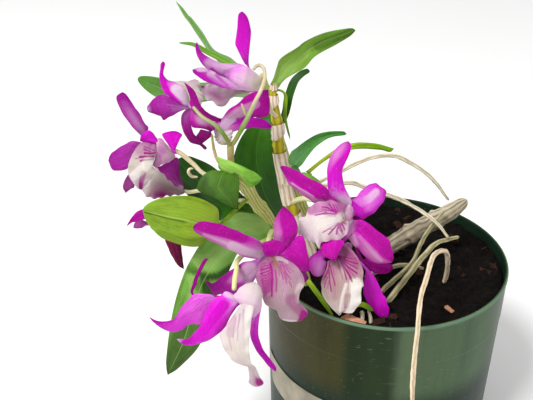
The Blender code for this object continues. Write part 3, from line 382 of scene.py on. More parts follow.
# Painted light and shade: from the yellow of a leaf painted as in full sun to the blue and near
# black of leaves painted as in shade.
LEAF = {
    "bright": leaf_finish("Sunlit_leaf", "#9CB83C", "#8FB32C", "#7CA022", "#BCCF74"),
    "fresh": leaf_finish("Fresh_leaf", "#82A848", "#6E9830", "#588822", "#98B660"),
    "mid": leaf_finish("Mid_green_leaf", "#98C65A", "#80B442", "#66A030", "#AECE76"),
    "shade": leaf_finish("Shaded_deep_green_leaf", "#4E7820", "#42681A", "#365A14", "#638E38", 0.6),
    "blue": leaf_finish("Blue_green_leaf", "#7CC07A", "#58A04A", "#3F8632", "#93C98A"),
    "pale": leaf_finish("Pale_backed_leaf", "#7AB24E", "#72A646", "#4A7020", "#98BC70"),
    "dark": leaf_finish("Dark_shaded_leaf", "#3E7418", "#2C5E12", "#204A0E", "#4C8026"),
    "grass": leaf_finish("Yellow_green_leaf", "#BCCB3C", "#96BE22", "#76A614", "#C9D660"),
    "grey": leaf_finish("Grey_green_leaf", "#9CB894", "#84AC6E", "#5C9438", "#B0C8A2"),
}
print("leaf finishes:", list(LEAF))


# %% Cane, sheath, stalk and root finishes
def cane_finish(name, light, body, dark, count, rough=0.4):
    """Cane, sheath or root skin. u runs round it, so u makes its lengthwise streaks."""
    made, tree, shader = finish_of(name)
    stripe = lines(tree, across_along(tree)[0], count, 5.0, 120)
    cloud = speckle(tree, 220, 4, 0.6)
    tone = sums(tree, "MULTIPLY_ADD", stripe, 0.55, sums(tree, "MULTIPLY", cloud, 0.5))
    paint = ramp(tree, tone, (0.15, dark), (0.5, body), (0.95, light))
    dress(tree, shader, paint, sums(tree, "ADD", stripe, cloud), 0.25, Roughness=rough, IOR=1.45)
    return made


# Canes are smooth; paper and roots are matt, pale and finely lined.
OLD_CANE = cane_finish("Old_yellow_cane_skin", "#CFC418", "#B6AA04", "#867C06", 5)
GREEN_CANE = cane_finish("Green_cane_skin", "#DEDE98", "#BCC25E", "#949E46", 14)
SHEATH = cane_finish("Dry_papery_sheath", "#F6EAD8", "#E4D2BA", "#A89276", 9, 0.75)
BACKBULB = cane_finish("Shrivelled_cane_skin", "#C9BDA4", "#9A8F78", "#57503F", 9, 0.8)
VELAMEN = cane_finish("Velamen_root_skin", "#E6DCC6", "#CEC4A8", "#96906E", 3, 0.8)
PINK_VELAMEN = cane_finish("Old_pinkish_root_skin", "#EEDCC0", "#DAC4A4", "#A48E6E", 3, 0.8)
GREY_VELAMEN = cane_finish("Old_velamen_root_skin", "#C4BC98", "#9E966C", "#686242", 3, 0.8)


def stalk_finish(name, low, middle, high, between):
    """Waxy stalk skin that changes colour with height, given as two heights in millimetres."""
    made, tree, shader = finish_of(name)
    space = add(tree, "TexCoord").outputs["Object"]
    height = add(tree, "SeparateXYZ", {0: space}).outputs[2]
    wander = sums(tree, "MULTIPLY", speckle(tree, 300, 3), 0.004)
    share = add(tree, "MapRange", {0: sums(tree, "ADD", height, wander), 1: between[0] * MM,
                                   2: between[1] * MM}).outputs[0]
    paint = ramp(tree, share, (0.0, low), (0.5, middle), (1.0, high))
    # Brown blotches of two or three millimetres.
    paint = wash(tree, paint, past(tree, speckle(tree, 420, 4, 0.65), 0.55, 2.2), 0.5, "#A9825A")
    dress(tree, shader, paint, speckle(tree, 600, 3), 0.15, Roughness=0.42, IOR=1.45,
          Subsurface_Weight=0.15, Subsurface_Scale=0.001)
    return made


# The old spray is beige, green where it is still alive; the other stalks are a pale yellow.
SPRAY = stalk_finish("Old_beige_spray_skin", "#B8986C", "#5E8418", "#C4B898", (214, 250))
STALK = stalk_finish("Pale_flower_stalk_skin", "#D9DC8C", "#DDD6AC", "#D6C8A0", (150, 230))
print("cane, sheath, root and stalk finishes made")

# %% [markdown]
# ## Pot, mix and label
#
# The pot is thin green polypropylene, shaped over a mould: satin, with faint streaks where water
# dried and short pale scratches from handling. The mix is fine black bark with brown chips on
# top. The label is a plain paper sheet stuck to the wall, left bare and a little weathered.

# %% Pot, mix, chip and label finishes
def pot_finish():
    """Satin moulded plastic: green, with upright zones of painted light and shade, scuffs and dust.
    """
    made, tree, shader = finish_of("Moulded_green_polypropylene")
    space = add(tree, "TexCoord").outputs["Object"]
    axes = add(tree, "SeparateXYZ", {0: space})
    streak = speckle(tree, 60, 4, 0.6, (1, 1, 0.12))
    # Broad upright zones round the pot: a brown, dusty side that is also painted as lit, a sharp
    # edge into a band of painted shade, a paler band of painted reflection, and dark green round
    # the rest.
    turn = sums(tree, "ARCTAN2", axes.outputs[1], axes.outputs[0])
    share = sums(tree, "MULTIPLY_ADD", turn, 0.5 / math.pi, 0.5)
    share = sums(tree, "ADD", share, sums(tree, "MULTIPLY_ADD", streak, 0.02, -0.01))
    paint = ramp(tree, share, (0.0, "#38361A"), (0.08, "#403E1E"), (0.12, "#4A4826"),
                 (0.176, "#454522"), (0.188, "#26361C"), (0.238, "#2A3C22"), (0.252, "#64785A"),
                 (0.36, "#54704E"), (0.46, "#22381E"), (0.9, "#263C20"), (1.0, "#38361A"))
    shade = ramp(tree, streak, (0.3, "#4A4A4A"), (0.7, "#9A9A9A"))
    paint = wash(tree, paint, 0.6, 1, shade, "OVERLAY")
    flat = add(tree, "CombineXYZ", {0: axes.outputs[0], 1: axes.outputs[1]}).outputs[0]
    reach = add(tree, "VectorMath", {0: flat}, operation="LENGTH").outputs["Value"]
    # A paler band round the top of the rolled rim: a painted highlight.
    lip = sums(tree, "MULTIPLY", band(tree, axes.outputs[2], 123.0 * MM, 123.7 * MM),
               band(tree, reach, 73.9 * MM, 74.5 * MM))
    paint = wash(tree, paint, lip, 1, "#5E7860")
    # The inside of the wall is painted a near black green: painted shade.
    paint = wash(tree, paint, band(tree, reach, 73.6 * MM, 73.1 * MM), 1, "#182A1E")
    # Scratches 1 mm thick and 12 mm long at most, and specks of dust: the brightest few.
    marks = past(tree, speckle(tree, 900, 1, 0.5, (0.08, 1, 1)), 0.67, 5.0)
    dust = past(tree, speckle(tree, 1500, 2), 0.68, 5.0)
    wear = sums(tree, "MAXIMUM", marks, sums(tree, "MULTIPLY", dust, 0.5))
    paint = wash(tree, paint, wear, 0.35, "#8E9A88")
    gloss = sums(tree, "MULTIPLY_ADD", streak, 0.3, 0.2)
    tree.links.new(gloss, shader.inputs["Roughness"])
    dress(tree, shader, paint, speckle(tree, 45, 3), 0.5, 0.5, IOR=1.45, Specular_IOR_Level=0.08)
    return made


def crumb_finish(name, crumbs, relief, rough, gloss, *stops, stretch=(1, 1, 1)):
    """Crumbling bark from one noise, given as its scale, detail and roughness."""
    made, tree, shader = finish_of(name)
    grain = speckle(tree, *crumbs, stretch)
    dress(tree, shader, ramp(tree, grain, *stops), grain, relief, Roughness=rough,
          Specular_IOR_Level=gloss)
    return made


POT = pot_finish()
# The mix drinks the light, in crumbs of about 4 mm.
MIX = crumb_finish("Damp_black_bark_mix", (260, 6, 0.7), 1.5, 0.9, 0.1, (0.40, "#050403"),
                   (0.60, "#120D0A"), (0.78, "#2E1F17"))
# Chips are brown, or pink where freshly broken, with a flat grain of about 3 mm.
BARK, PINK_BARK = [crumb_finish(name, (320, 5, 0.65), 0.8, 0.85, 0.15, (0.3, dark), (0.7, light),
                                stretch=(1, 1, 3))
                   for name, dark, light in (("Brown_bark_chip", "#140B08", "#3E2318"),
                                             ("Fresh_bark_chip", "#A36A4C", "#D0A080"))]


def label_finish():
    """Plain paper, stained by water in patches of about 14 mm."""
    made, tree, shader = finish_of("Weathered_plain_label_paper")
    paint = ramp(tree, speckle(tree, 70, 5, 0.6), (0.3, "#7E7766"), (0.6, "#9A917C"),
                 (0.8, "#AAA18C"))
    dress(tree, shader, paint, speckle(tree, 180, 4), 0.3, Roughness=0.5, IOR=1.5)
    return made


LABEL = label_finish()
print("pot, mix, chip and label finishes made")

# %% [markdown]
# ## Curves that pieces follow
#
# Leaves, tepals, stems and roots all follow a smooth curve through a few chosen places, as a wire
# would inside a silk flower. A face direction is carried along the curve without twisting, so
# that a blade knows which way it looks at every point.

# %% Courses and surfaces
TINY = 1e-9


def line(points):
    """Evenly spaced places along a smooth curve through the points, and its length."""
    knots = np.array(points, float)
    ends = np.vstack([2 * knots[0] - knots[1], knots, 2 * knots[-1] - knots[-2]])
    fine = []
    for i in range(1, len(ends) - 2):
        before, start, stop, after = ends[i - 1:i + 3]
        for t in np.linspace(0, 1, 24, endpoint=False):
            bend = 2 * before - 5 * start + 4 * stop - after
            turn = 3 * start - before - 3 * stop + after
            fine.append(0.5 * (2 * start + (stop - before) * t + bend * t**2 + turn * t**3))
    fine = np.array(fine + [knots[-1]])
    lengths = np.concatenate([[0], np.cumsum(np.linalg.norm(np.diff(fine, axis=0), axis=1))])
    wanted = np.linspace(0, lengths[-1], STEPS + 1)
    places = [np.interp(wanted, lengths, fine[:, k]) for k in range(3)]
    return np.stack(places, axis=1), lengths[-1]


def between(rows, share):
    """The row at this share of the way down a table, blended from its two neighbours."""
    spot = min(max(share, 0.0), 1.0) * (len(rows) - 1)
    low = min(int(spot), len(rows) - 2)
    return rows[low] + (rows[low + 1] - rows[low]) * (spot - low)


def course(points, face=FRONT):
    """A function that gives the place, across and face directions at any share of the curve."""
    places, length = line(points)
    normal = np.array(face, float)
    sides, faces = [], []
    for tangent in np.gradient(places, axis=0):
        tangent /= max(np.linalg.norm(tangent), TINY)
        normal = normal - tangent * (normal @ tangent)
        normal /= max(np.linalg.norm(normal), TINY)
        sides.append(np.cross(tangent, normal))
        faces.append(normal)
    table = np.hstack([places, sides, faces])

    def where(share):
        row = between(table, share)
        return row[:3], row[3:6], row[6:]

    return where, length


# %% [markdown]
# ## Skins
#
# Every surface starts as a flat grid that a place function bends into shape. Each point keeps its
# place on the grid as UV, and its paint as the "deep" attribute. Sheets are thickened by a turned
# copy, so that they are closed like everything else.

# %% One skin for sheets and tubes
def skin(place, rows, columns, thickness=None, tube=False, deep=0.5, paint=0, crowd=True,
         ink=None):
    """A closed skin from a flat grid: place(across, along) moves its points, in millimetres.

    A sheet gets its thickness from a turned copy that meets it along the rim. A tube is sewn
    along its seam and closed at its ends.
    """
    bm = bmesh.new()
    tone = bm.verts.layers.float.new("deep")
    chart = bm.loops.layers.uv.new("UVMap")
    bmesh.ops.create_grid(bm, x_segments=columns, y_segments=rows, size=1)
    spots = {}
    for vert in bm.verts:
        across = vert.co.x if tube or not crowd else math.sin(vert.co.x * math.pi / 2)
        along = (vert.co.y + 1) / 2
        if crowd and not tube:
            along = 1 - (1 - along) ** 1.3
        spots[vert] = (across, along)
        vert[tone] = deep(across, along) if callable(deep) else deep
    for face in bm.faces:
        face.smooth = True
        face.material_index = paint
        for loop in face.loops:
            across, along = spots[loop.vert]
            loop[chart].uv = ((across + 1) / 2, along)
    for vert, (across, along) in spots.items():
        spot = place(across, along)
        vert.co = Vector(spot) * MM
        if ink:
            vert[tone] += ink(spot)
    if tube:
        bmesh.ops.remove_doubles(bm, verts=bm.verts, dist=0.002 * MM)
        holes = [edge for edge in bm.edges if edge.is_boundary]
        filled = bmesh.ops.holes_fill(bm, edges=holes, sides=0)["faces"]
        for face in filled:
            face.smooth = True
            face.material_index = paint
        bmesh.ops.recalc_face_normals(bm, faces=bm.faces)
        return bm
    bm.normal_update()
    front = list(bm.verts)
    depth = {vert: thickness(*spots[vert]) for vert in front}
    lift = {vert: vert.normal * depth[vert] * MM / 2 for vert in front}
    made = bmesh.ops.duplicate(bm, geom=bm.verts[:] + bm.edges[:] + bm.faces[:])["geom"]
    rear = [item for item in made if isinstance(item, bmesh.types.BMVert)]
    bmesh.ops.reverse_faces(bm, faces=[f for f in made if isinstance(f, bmesh.types.BMFace)])
    for vert, twin in zip(front, rear):
        vert.co += lift[vert]
        twin.co -= lift[vert]
    bmesh.ops.remove_doubles(bm, verts=bm.verts, dist=0.004 * MM)
    return bm


def outline(along, base, peak, tip):
    """The half width of a blade at this share of its length, with 1 at its widest."""
    if along < peak:
        rise = along / peak
        return base + (1 - base) * rise * rise * (3 - 2 * rise)
    fall = (along - peak) / (1 - peak)
    return tip + (1 - tip) * max(1 - fall * fall, 0) ** 0.7


def thinned(thick, power):
    """A thickness that fades to nothing at the margins and at both ends of a sheet."""
    def thickness(across, along):
        return thick * (1 - abs(across) ** power) * min(1, along * 15) * min(1, (1 - along) * 12)

    return thickness


def blade(points, width, face=FRONT, cup=(40, 20), base=0.4, peak=0.5, tip=0.12, ruffle=0.0,
          rib=0.0, thick=LEAF_THICKNESS, rows=26, columns=14, seed=0.0):
    """A strap leaf: a sheet along a course, arched across by the cup's degrees, rounded off."""
    where, length = course(points, face)
    round_end = min(0.45, max(tip * width / 2 / length, 0.01))

    def place(across, along):
        spot, side, out = where(along)
        half = width / 2 * outline(along, base, peak, tip)
        if along > 1 - round_end:
            half *= math.sqrt(max(1 - ((along - 1 + round_end) / round_end) ** 2, 0.0004))
        edge = 0.03 * math.sin(9 * along + seed + across) + 0.015 * math.sin(26 * along + 3 * seed)
        half *= 1 + edge * min(1, 4 * (1 - along))
        arch = math.radians(cup[0] + (cup[1] - cup[0]) * along)
        radius = 2 * half / arch
        shift = radius * math.sin(across * arch / 2)
        lift = radius * (1 - math.cos(across * arch / 2))
        phase = 2 * math.pi * 5 * along + 2.5 * across + seed
        lift += ruffle * abs(across) ** 3 * math.sin(phase) * min(1, 3 * along)
        lift -= rib * math.exp(-(across / 0.10) ** 2) * math.sin(math.pi * min(along * 1.05, 1))
        return spot + side * shift + out * lift

    return skin(place, rows, columns, thinned(thick, 5))


# %% [markdown]
# ## Sails
#
# Most tepals and broad leaves are stretched between two margins, as a sail is between its spars.
# The margins are lists of points in the picture plane. Paint comes as soft patches and as strokes,
# which are lists of points there too.

# %% Sails and their strokes
def sail(left, right, depth, look="clear", crown=(1, 2, 1, 0), tones=(), joined=True):
    """A sheet between two margins, each read off in the frame from the heart to the tip.

    The right margin ends in the left one's last point, unless they are not joined. depth is the
    distance along Y from the heart to the tip, crown the height of the sheet's middle above its
    margins, and tones the deeper and paler patches: across, along, their two spreads, and how
    much.
    """
    right = [*right, left[-1]] if joined else right
    return dict(left=left, right=right, depth=depth, look=look, crown=crown, tones=tones,
                ruffle=0.35, ripples=5, rib=0.2)


def inked(marks):
    """A function that gives the ink at a place, from strokes of (amount, half width, points)."""
    table = []
    for amount, width, points in marks:
        for i, (start, stop) in enumerate(zip(points, points[1:])):
            last = max(len(points) - 1, 1)
            table.append([*start, stop[0] - start[0], stop[1] - start[1], amount,
                          width * (1 - 0.3 * i / last), width * 0.3 / last])
    table = np.array(table)
    square = np.maximum((table[:, 2:4] ** 2).sum(axis=1), 1e-6)

    def ink(spot):
        gap = in_frame(spot) - table[:, :2]
        share = np.clip((gap * table[:, 2:4]).sum(axis=1) / square, 0, 1)
        far = np.linalg.norm(gap - table[:, 2:4] * share[:, None], axis=1)
        width = table[:, 5] - table[:, 6] * share
        soft = np.maximum(0.45, 0.9 * width)
        value = table[:, 4] * np.clip((width - far) / soft + 1.2, 0, 1)
        return max(value.max(), 0.0) + min(value.min(), 0.0)

    return ink


def spread(kind, rows, columns, thick=TEPAL_THICKNESS, seed=0.0, paint=0, root=None, marks=(),
           crowd=True):
    """The skin of a sail. root is the middle of the heart that it grows from."""
    rails = []
    for margin in (kind["left"], kind["right"]):
        flat = np.array(margin)
        run = np.concatenate([[0], np.cumsum(np.linalg.norm(np.diff(flat, axis=0), axis=1))])
        depths = np.interp(run / run[-1], np.linspace(0, 1, len(kind["depth"])), kind["depth"])
        rails.append([seen(u, v, y) for (u, v), y in zip(margin, depths)])
    if root is not None:
        reach = 0.25 * (rails[1][0] - rails[0][0])
        rails[0].insert(0, np.array(root, float) - reach)
        rails[1].insert(0, np.array(root, float) + reach)
    rails = [line(rail)[0] for rail in rails]
    heights = [0.0, *(0.55 * height for height in kind["crown"])]

    def place(across, along):
        first, second = (between(rail, along) for rail in rails)
        half = (second - first) / 2
        wide = np.linalg.norm(half)
        out = np.array(FRONT) - half * (half @ np.array(FRONT)) / max(wide * wide, 1e-6)
        out /= np.linalg.norm(out)
        rise = np.interp(along, np.linspace(0, 1, len(heights)), heights) * (1 - across * across)
        rise -= kind["rib"] * math.exp(-(across / 0.12) ** 2) * math.sin(math.pi * along)
        phase = 2 * math.pi * kind["ripples"] * along + 2.5 * across + seed
        rise += kind["ruffle"] * abs(across) ** 3 * math.sin(phase) * min(1, wide / 4)
        rise += 0.12 * math.sin(5 * across + 9 * along + seed)
        return (first + second) / 2 + half * across + out * rise

    def tone(across, along):
        value = 0.5
        for u, v, du, dv, amount in kind["tones"]:
            away = (((across + 1) / 2 - u) / du) ** 2 + ((along - v) / dv) ** 2
            value += amount * math.exp(-away)
        return value

    return skin(place, rows, columns, thinned(thick, 6), deep=tone, paint=paint, crowd=crowd,
                ink=inked(marks) if marks else None)


# %% [markdown]
# ## Stems
#
# A stem is a round tube along a course. Rings swell at its joints, ridges run along it, and slow
# noise makes it lumpy. It closes with a blunt end.

# %% Stems, and one named object for each piece
def stem(points, radii, rows, columns, rings=(), ridge=0, ridge_count=9, lumps=0.0, paint=0,
         blunt=None, seed=0.0):
    """A round stem, root or heart. Rings are (share, width, height) swellings at its nodes."""
    where, length = course(points, STEM_FACE)
    stops = np.linspace(0, 1, len(radii))
    end = blunt or max(0.9 * max(radii) / length, 0.004)

    def place(across, along):
        spot, side, out = where(along)
        radius = float(np.interp(along, stops, radii))
        for share, spread, height in rings:
            radius += height * math.exp(-((along - share) / spread) ** 2)
        turn = math.pi * across
        if ridge:
            radius *= 1 + ridge * math.cos(ridge_count * turn + 3 * along)
        if lumps:
            side_of = Vector((seed, math.cos(turn), math.sin(turn)))
            radius += lumps * noise.noise(Vector(spot) * 0.22 + side_of)
        for close in (along, 1 - along):
            if close < end:
                radius *= math.sqrt(max(1 - (1 - close / end) ** 2, 0.0009))
        return spot + side * (radius * math.cos(turn)) + out * (radius * math.sin(turn))

    return skin(place, rows, columns, tube=True, paint=paint)


def piece(name, skins, finishes, slot, *nodes):
    """One named object from the skins, in the frame's own space, riding on the root."""
    joined = bmesh.new()
    for bm in skins:
        part = bpy.data.meshes.new(name + "_part")
        bm.to_mesh(part)
        bm.free()
        joined.from_mesh(part)
        bpy.data.meshes.remove(part)
    mesh = bpy.data.meshes.new(name)
    joined.to_mesh(mesh)
    joined.free()
    obj = bpy.data.objects.new(name, mesh)
    bpy.context.scene.collection.objects.link(obj)
    for finish in finishes:
        mesh.materials.append(finish)
    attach(obj, "root")
    if nodes:
        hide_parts(*nodes)
    print(f"{name}: {len(mesh.polygons)} faces")
    return obj

# %% [markdown]
# ## The pot
#
# A nursery pot is drawn down over a mould, so it is round, thin and slightly tapered, with a
# raised band below a rolled rim. A half section spun round the axis makes it in one step. The
# section runs up the inside, over the rim and down the outside, and its corners are rounded
# by beveling them before the spin.

# %% Spin the pot
def spun(section, steps, rounding=0.0):
    """A body of revolution from a half section of (radius, height) in millimetres."""
    bm = bmesh.new()
    verts = [bm.verts.new((r * MM, 0, z * MM)) for r, z in section]
    edges = [bm.edges.new(pair) for pair in zip(verts, verts[1:])]
    if rounding:
        bmesh.ops.bevel(bm, geom=verts[1:-1], offset=rounding * MM, segments=3, profile=0.5,
                        affect="VERTICES", material=-1)
    bmesh.ops.spin(bm, geom=bm.verts[:] + bm.edges[:], angle=2 * math.pi, steps=steps,
                   axis=(0, 0, 1), cent=(0, 0, 0), use_merge=True)
    bmesh.ops.remove_doubles(bm, verts=bm.verts, dist=0.01 * MM)
    bmesh.ops.recalc_face_normals(bm, faces=bm.faces)
    for face in bm.faces:
        face.smooth = True
    return bm


pot_section = [
    (0.0, FLOOR), (62.0, FLOOR), (69.5, FLOOR + 5), (72.1, 96.0), (72.8, 100.5), (73.0, 124.0),
    (73.4, POT_HEIGHT), (RIM_RADIUS - 0.3, POT_HEIGHT), (RIM_RADIUS, POT_HEIGHT - 0.5),
    (RIM_RADIUS, POT_HEIGHT - 2.4), (74.6, POT_HEIGHT - 3.0),
    (74.3, POT_HEIGHT - BAND_HEIGHT + 0.8), (74.0, POT_HEIGHT - BAND_HEIGHT), (71.8, 4.0),
    (69.5, 0.4), (67.5, 0.0), (66.5, 1.0), (0.0, 1.0),
]
piece("pot_shell", [spun(pot_section, 160, 0.18)], [POT], "pot_plastic", "pot")

# %% [markdown]
# ## The mix
#
# The pot is filled to a few millimetres below its rim. The top is a rough crust of fine bark, so
# it is a round sheet spun from a line and pushed up and down by noise; the rest is only the plug
# below it. Larger chips lie half sunk in the crust: small blocks whose corners were cut and moved
# at random, from one seeded draw.

# %% Crust and chips
random.seed(11)


def crust():
    """The top of the mix, roughened by lumps of a few centimetres and crumbs of a few mm."""
    section = [(0.0, MIX_TOP)] + [(r, MIX_TOP) for r in np.linspace(1.5, 71.5, 44)]
    section += [(72.3, MIX_TOP - 1.5), (72.0, 101.0), (69.0, 8.5), (65.5, 3.1), (0.0, 3.1)]
    bm = spun(section, 150)
    for vert in bm.verts:
        spot = vert.co / MM
        reach = math.hypot(spot.x, spot.y)
        if spot.z > MIX_TOP - 1 and reach < 71.8:
            lump = 1.3 * (math.sin(0.31 * spot.x + 1.0) * math.cos(0.27 * spot.y)
                          + math.sin(0.19 * spot.x - 0.23 * spot.y))
            rough = 1.5 * noise.noise(spot * 0.35) + 0.9 * noise.noise(spot * 0.9)
            vert.co.z += (lump * min(1, (72 - reach) / 6) + rough) * MM
    return bm


def chip(x, y, z, size, paint):
    """A bark chip: a small cut block with its corners moved about, turned at random."""
    bm = bmesh.new()
    bm.loops.layers.uv.new("UVMap")
    bm.verts.layers.float.new("deep")
    bmesh.ops.create_cube(bm, size=1)
    bmesh.ops.subdivide_edges(bm, edges=bm.edges[:], cuts=2, use_grid_fill=True)
    tilt = Vector((random.uniform(-0.5, 0.5), random.uniform(-0.5, 0.5), random.uniform(0, 3.1)))
    start = random.uniform(0, 50)
    for vert in bm.verts:
        wander = noise.noise_vector(vert.co * 1.7 + Vector((start, 0, 0))) * 0.28
        vert.co = (vert.co + wander) * Vector((size, size * 0.6, size * 0.3))
    bmesh.ops.rotate(bm, verts=bm.verts, cent=(0, 0, 0), matrix=Euler(tilt).to_matrix())
    bmesh.ops.translate(bm, verts=bm.verts, vec=(x, y, z))
    for vert in bm.verts:
        vert.co *= MM
    for face in bm.faces:
        face.material_index = paint
    return bm


CHIP_COUNT = 46
chips = []
for i in range(CHIP_COUNT):
    turn = random.uniform(0, 2 * math.pi)
    reach = 71 * math.sqrt(random.uniform(0.02, 0.93))
    chips.append(chip(reach * math.cos(turn), reach * math.sin(turn),
                      MIX_TOP + random.uniform(-1.2, 0.8), random.uniform(3, 8), 1))
for x, y, rise, size in ((-25, -65, 2.5, 9), (-30, -61, 1.5, 7), (31, -50, 0.5, 5)):
    chips.append(chip(x, y, MIX_TOP + rise, size, 2))
piece("bark_mix", [crust(), *chips], [MIX, BARK, PINK_BARK], "bark_mix", "potting_mix")

# %% [markdown]
# ## The label
#
# A paper label is stuck to the lower left of the wall. It follows the wall's taper and lifts a
# hair at its edges. A thin curved sheet is enough; its face is left bare.

# %% Stick the label on
def on_wall(across, along):
    """The label's place on the tapered wall: 74 degrees round it and 23 mm high."""
    turn = math.radians(-135 + 37 * across + 3 * (1 - along) * (1 - across))
    height = 37.0 + 23.0 * along
    wall = 71.7 + 2.3 * (height - 3.0) / (POT_HEIGHT - BAND_HEIGHT - 3.0)
    reach = wall + 0.4 + 0.15 * abs(across) ** 6 + 0.1 * math.sin(9 * across + 4 * along)
    return np.array([reach * math.cos(turn), reach * math.sin(turn), height])


def paper(across, along):
    return PAPER_THICKNESS * (1 - abs(across) ** 30) * min(1, 30 * along, 30 * (1 - along))


piece("bare_label", [skin(on_wall, 24, 80, paper, crowd=False)], [LABEL], "label_paper", "label")

# %% [markdown]
# ## Canes
#
# A cane grows one joint at a time. Each joint ends in a ring, and the base of an old leaf stays
# wrapped round it as a papery sheath. Stems are tubes round a course. A sheath is a sheet rolled
# round the same course with its two edges overlapping, cut off at a slant, as a dead sheath
# tears.

# %% Courses of the canes
OLD_PATH = [(-40, -12, 101), (-46, -8, 122), (-54, -5, 145), (-61, -3, 164), (-65, 0, 183),
            (-68, 2, 200), (-68, 2, 210), (-70, 3, 220), (-71, 4, 230), (-71, 4, 237)]
OLD_RADII = [4.2, 4.2, 4.0, 3.8, 3.5, 3.4, 3.4, 3.1, 2.7, 1.4]
GREEN_PATH = [(-50, -22, 101), (-53, -22, 120), (-57, -22, 134), (-64, -24, 148), (-71, -28, 161),
              (-76, -31, 173), (-82, -35, 184), (-87, -38, 196), (-92, -42, 204), (-95, -43, 208)]
GREEN_RADII = [4.6, 4.6, 4.4, 4.0, 3.6, 3.4, 3.4, 3.2, 3.4, 3.0]
BACK_PATH = [(-33, 18, 101), (-44, 18, 130), (-57, 18, 160), (-67, 17, 195), (-73, 16, 220),
             (-78, 14, 240)]
BACK_RADII = [4.2, 4.2, 3.8, 3.4, 3.0, 2.0]
BULB_PATH = [(-12, 14, 101), (-3, 11, 117), (5, 8, 127), (16, 6, 137), (26, 4, 145), (38, 2, 155),
             (47, 2, 163)]
BULB_RADII = [4.0, 4.6, 5.2, 5.4, 5.4, 5.0, 3.0]
KEIKI_PATH = [(-64, -2, 184), (-57, -4, 181), (-50, -6, 180), (-44, -8, 180)]
KEIKI_RADII = [2.2, 2.6, 2.8, 1.8]


def sheath(points, radii, start, stop, loose, slant, ragged, seed):
    """A papery sleeve round a cane, between two shares of its length."""
    where = course(points, STEM_FACE)[0]
    stops = np.linspace(0, 1, len(radii))

    def place(across, along):
        turn = 1.06 * math.pi * across + seed
        share = start + (stop - start) * along
        if along < 0.5:
            share += slant * math.cos(turn) * (0.5 - along) * 2
            share += ragged * math.sin(5 * turn) * (0.5 - along) * 2
        spot, side, out = where(share)
        # One edge lies 0.12 mm over the other, and the paper crumples a little.
        radius = float(np.interp(share, stops, radii)) + loose + 0.12 * across
        radius += 0.18 * math.sin(7 * turn + seed) * (1 - along) + 0.12 * math.sin(13 * turn)
        return spot + side * (radius * math.cos(turn)) + out * (radius * math.sin(turn))

    return skin(place, 14, 40, lambda across, along: SHEATH_THICKNESS, paint=1, crowd=False)


# %% Old cane
# Rings sit at the joints. Bare yellow skin shows between the sheaths.
old_rings = [(s, 0.012, 0.5) for s in (0.30, 0.45, 0.60, 0.74, 0.85)]
old_skins = [stem(OLD_PATH, OLD_RADII, 120, 28, old_rings, 0.03, 9, 0.25)]
for start, stop, loose, slant, seed in (
        (0.20, 0.42, 0.8, 0.02, 0.0), (0.48, 0.57, 0.7, 0.01, 1.0),
        (0.56, 0.705, 0.7, 0.015, 1.4), (0.782, 0.832, 0.7, 0.02, 2.1),
        (0.91, 0.955, 0.6, 0.01, 0.7), (0.978, 0.999, 0.3, 0.0, 0.2)):
    old_skins.append(sheath(OLD_PATH, OLD_RADII, start, stop, loose, slant, 0.003, seed))
piece("yellow_cane_in_sheaths", old_skins, [OLD_CANE, SHEATH], "old_cane", "old_cane")

# %% Green canes and the plantlet's stem
green_rings = [(s, 0.014, 0.6) for s in (0.25, 0.40, 0.55, 0.70, 0.84)] + [(0.95, 0.04, 1.0)]
back_rings = [(s, 0.015, 0.4) for s in (0.2, 0.38, 0.56, 0.72, 0.86)]
piece("living_green_cane",
      [stem(GREEN_PATH, [1.12 * radius for radius in GREEN_RADII], 110, 48, green_rings,
            0.012, 18, 0.1),
       sheath(GREEN_PATH, GREEN_RADII, 0.30, 0.44, 0.6, 0.02, 0.002, 1.5)],
      [GREEN_CANE, SHEATH], "green_cane", "green_cane")
piece("upper_green_cane", [stem(BACK_PATH, BACK_RADII, 90, 22, back_rings, 0.04, 8, 0.2)],
      [GREEN_CANE], "green_cane", "back_cane")
piece("plantlet_shoot", [stem(KEIKI_PATH, KEIKI_RADII, 30, 18, [(0.4, 0.05, 0.4)], 0.04, 7, 0.2)],
      [GREEN_CANE], "green_cane", "plantlet_stem")

# %% [markdown]
# ## The shrivelled cane
#
# A cane that has lost its water shrinks into deep lengthwise wrinkles, with a flared grey ring
# where each leaf once sat.

# %% Shrivelled cane
bulb_rings = [(s, 0.018, 1.0) for s in (0.30, 0.52, 0.74)]
piece("shrivelled_old_cane", [stem(BULB_PATH, BULB_RADII, 110, 54, bulb_rings, 0.075, 9, 0.7)],
      [BACKBULB], "shrivelled_cane", "shrivelled_cane")

# %% [markdown]
# ## Aerial roots
#
# The roots wander like soft wire and end bluntly. Their spongy coat swells and shrinks a little,
# so a slow noise changes the thickness along each.

